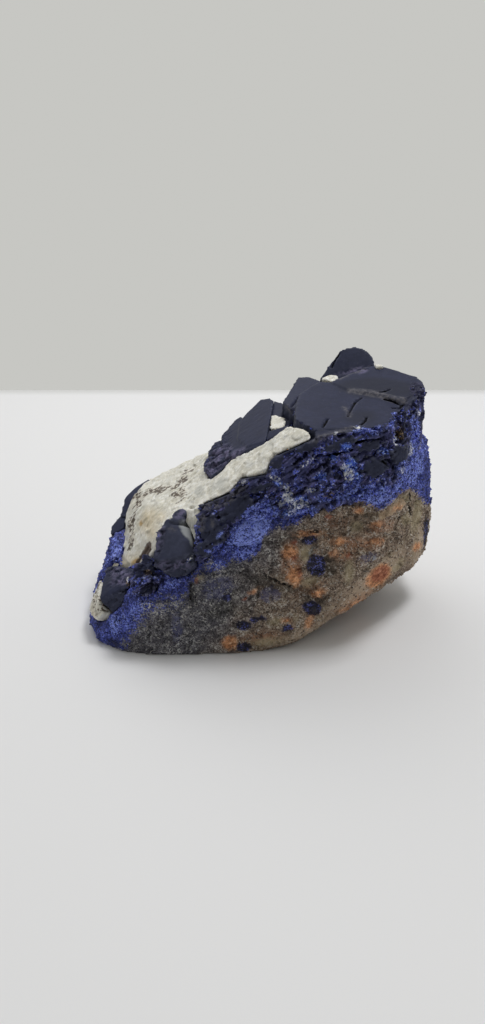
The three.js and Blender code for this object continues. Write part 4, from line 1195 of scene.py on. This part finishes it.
grain_piece("blue_grains", rock, blue_density, blue_grain_material(), "lazurite",
            per_square_mm=0.75, smallest=0.22, largest=0.55, random_seed=3)
grain_piece("rock_grains", rock, rock_density, rock_grain_material(), "host_rock",
            per_square_mm=0.7, smallest=0.22, largest=0.55, random_seed=8)
grain_piece("cluster_chips", crystals["crystal_cluster"], chip_density, chip_material(), "lazurite",
            per_square_mm=1.2, smallest=0.25, largest=0.75, random_seed=5)

# ---------------------------------------------------------------- stage, light and camera

FLOOR_FAR_EDGE = 275
FLOOR_REACH = 4000
# The floor's far edge is painted greyer, a painted shade where a floor would bend up into the wall.
FLOOR_SHADE_WIDTH = 14                     # how wide the greyer strip along the floor's far edge is
# Lamps: name, place, size in metres and watts. They shine at LAMP_TARGET.
LAMPS = [("overhead", (270, 150, 900), 0.2, 3.42), ("behind", (-160, 420, 520), 0.5, 0.9)]
LAMP_TARGET = (0, 0, 20)
WALL_COLOUR = (0.57, 0.57, 0.545)
CAMERA_PLACE = (0, -267.3, 176.2)
CAMERA_DOWN = 27                    # degrees below level
SENSOR_WIDTH = 36
LENS = 27.07
NEAREST_SEEN = 0.01                 # metres


def floor_material():
    """Pale, with a greyer strip of painted shade along its far edge, where a floor would turn up to the
    wall.
    """
    nodes = Finish("pale floor")
    away = nodes.output("ShaderNodeSeparateXYZ", {0: nodes.where}, "Y")
    far = place(0, FLOOR_FAR_EDGE, 0).y
    colour = away.ramp(far - FLOOR_SHADE_WIDTH * MM, far).blend((0.79, 0.79, 0.805), (0.64, 0.64, 0.64))
    inputs = {"Base Color": colour, "Roughness": 0.7, "Specular IOR Level": 0.2}
    nodes.node("ShaderNodeOutputMaterial", {"Surface": nodes.output("ShaderNodeBsdfPrincipled", inputs)})
    return nodes.material


def build_stage():
    sides = ((-1, -FLOOR_REACH), (1, -FLOOR_REACH), (1, FLOOR_FAR_EDGE), (-1, FLOOR_FAR_EDGE))
    mesh = bpy.data.meshes.new("floor")
    mesh.from_pydata([place(side * FLOOR_REACH, y, 0) for side, y in sides], [], [(0, 1, 2, 3)])
    mesh.materials.append(floor_material())
    link("floor", mesh)


def build_room():
    """An even pale room, darker behind the camera and lighter overhead."""
    world = bpy.data.worlds.new("soft room")
    world.use_nodes = True
    nodes = Nodes(world.node_tree)
    background = world.node_tree.nodes["Background"]
    direction = nodes.output("ShaderNodeTexCoord", None, "Generated")
    parts = nodes.outputs("ShaderNodeSeparateXYZ", {0: direction})
    strength = parts["Y"].ramp(-0.6, 0.2, 0.16) + parts["Z"].ramp(0.4, 0.95, 0.0, 0.3)
    nodes.join(background.inputs["Color"], WALL_COLOUR)
    nodes.join(background.inputs["Strength"], strength)
    bpy.context.scene.world = world


def build_lamps():
    for name, spot, size, watts in LAMPS:
        light = bpy.data.lights.new(name, "AREA")
        light.size = size
        light.energy = watts
        lamp = link(name, light)
        lamp.location = place(*spot)
        lamp.rotation_euler = (place(*LAMP_TARGET) - lamp.location).to_track_quat("-Z", "Y").to_euler()


def build_camera():
    data = bpy.data.cameras.new("camera")
    data.sensor_width = SENSOR_WIDTH
    data.lens = LENS
    data.clip_start = NEAREST_SEEN
    camera = link("camera", data)
    camera.location = place(*CAMERA_PLACE)
    camera.rotation_euler = (math.radians(90 - CAMERA_DOWN), 0, 0)
    bpy.context.scene.camera = camera


build_stage()
build_room()
build_lamps()
build_camera()
bpy.context.scene.view_settings.view_transform = "Standard"
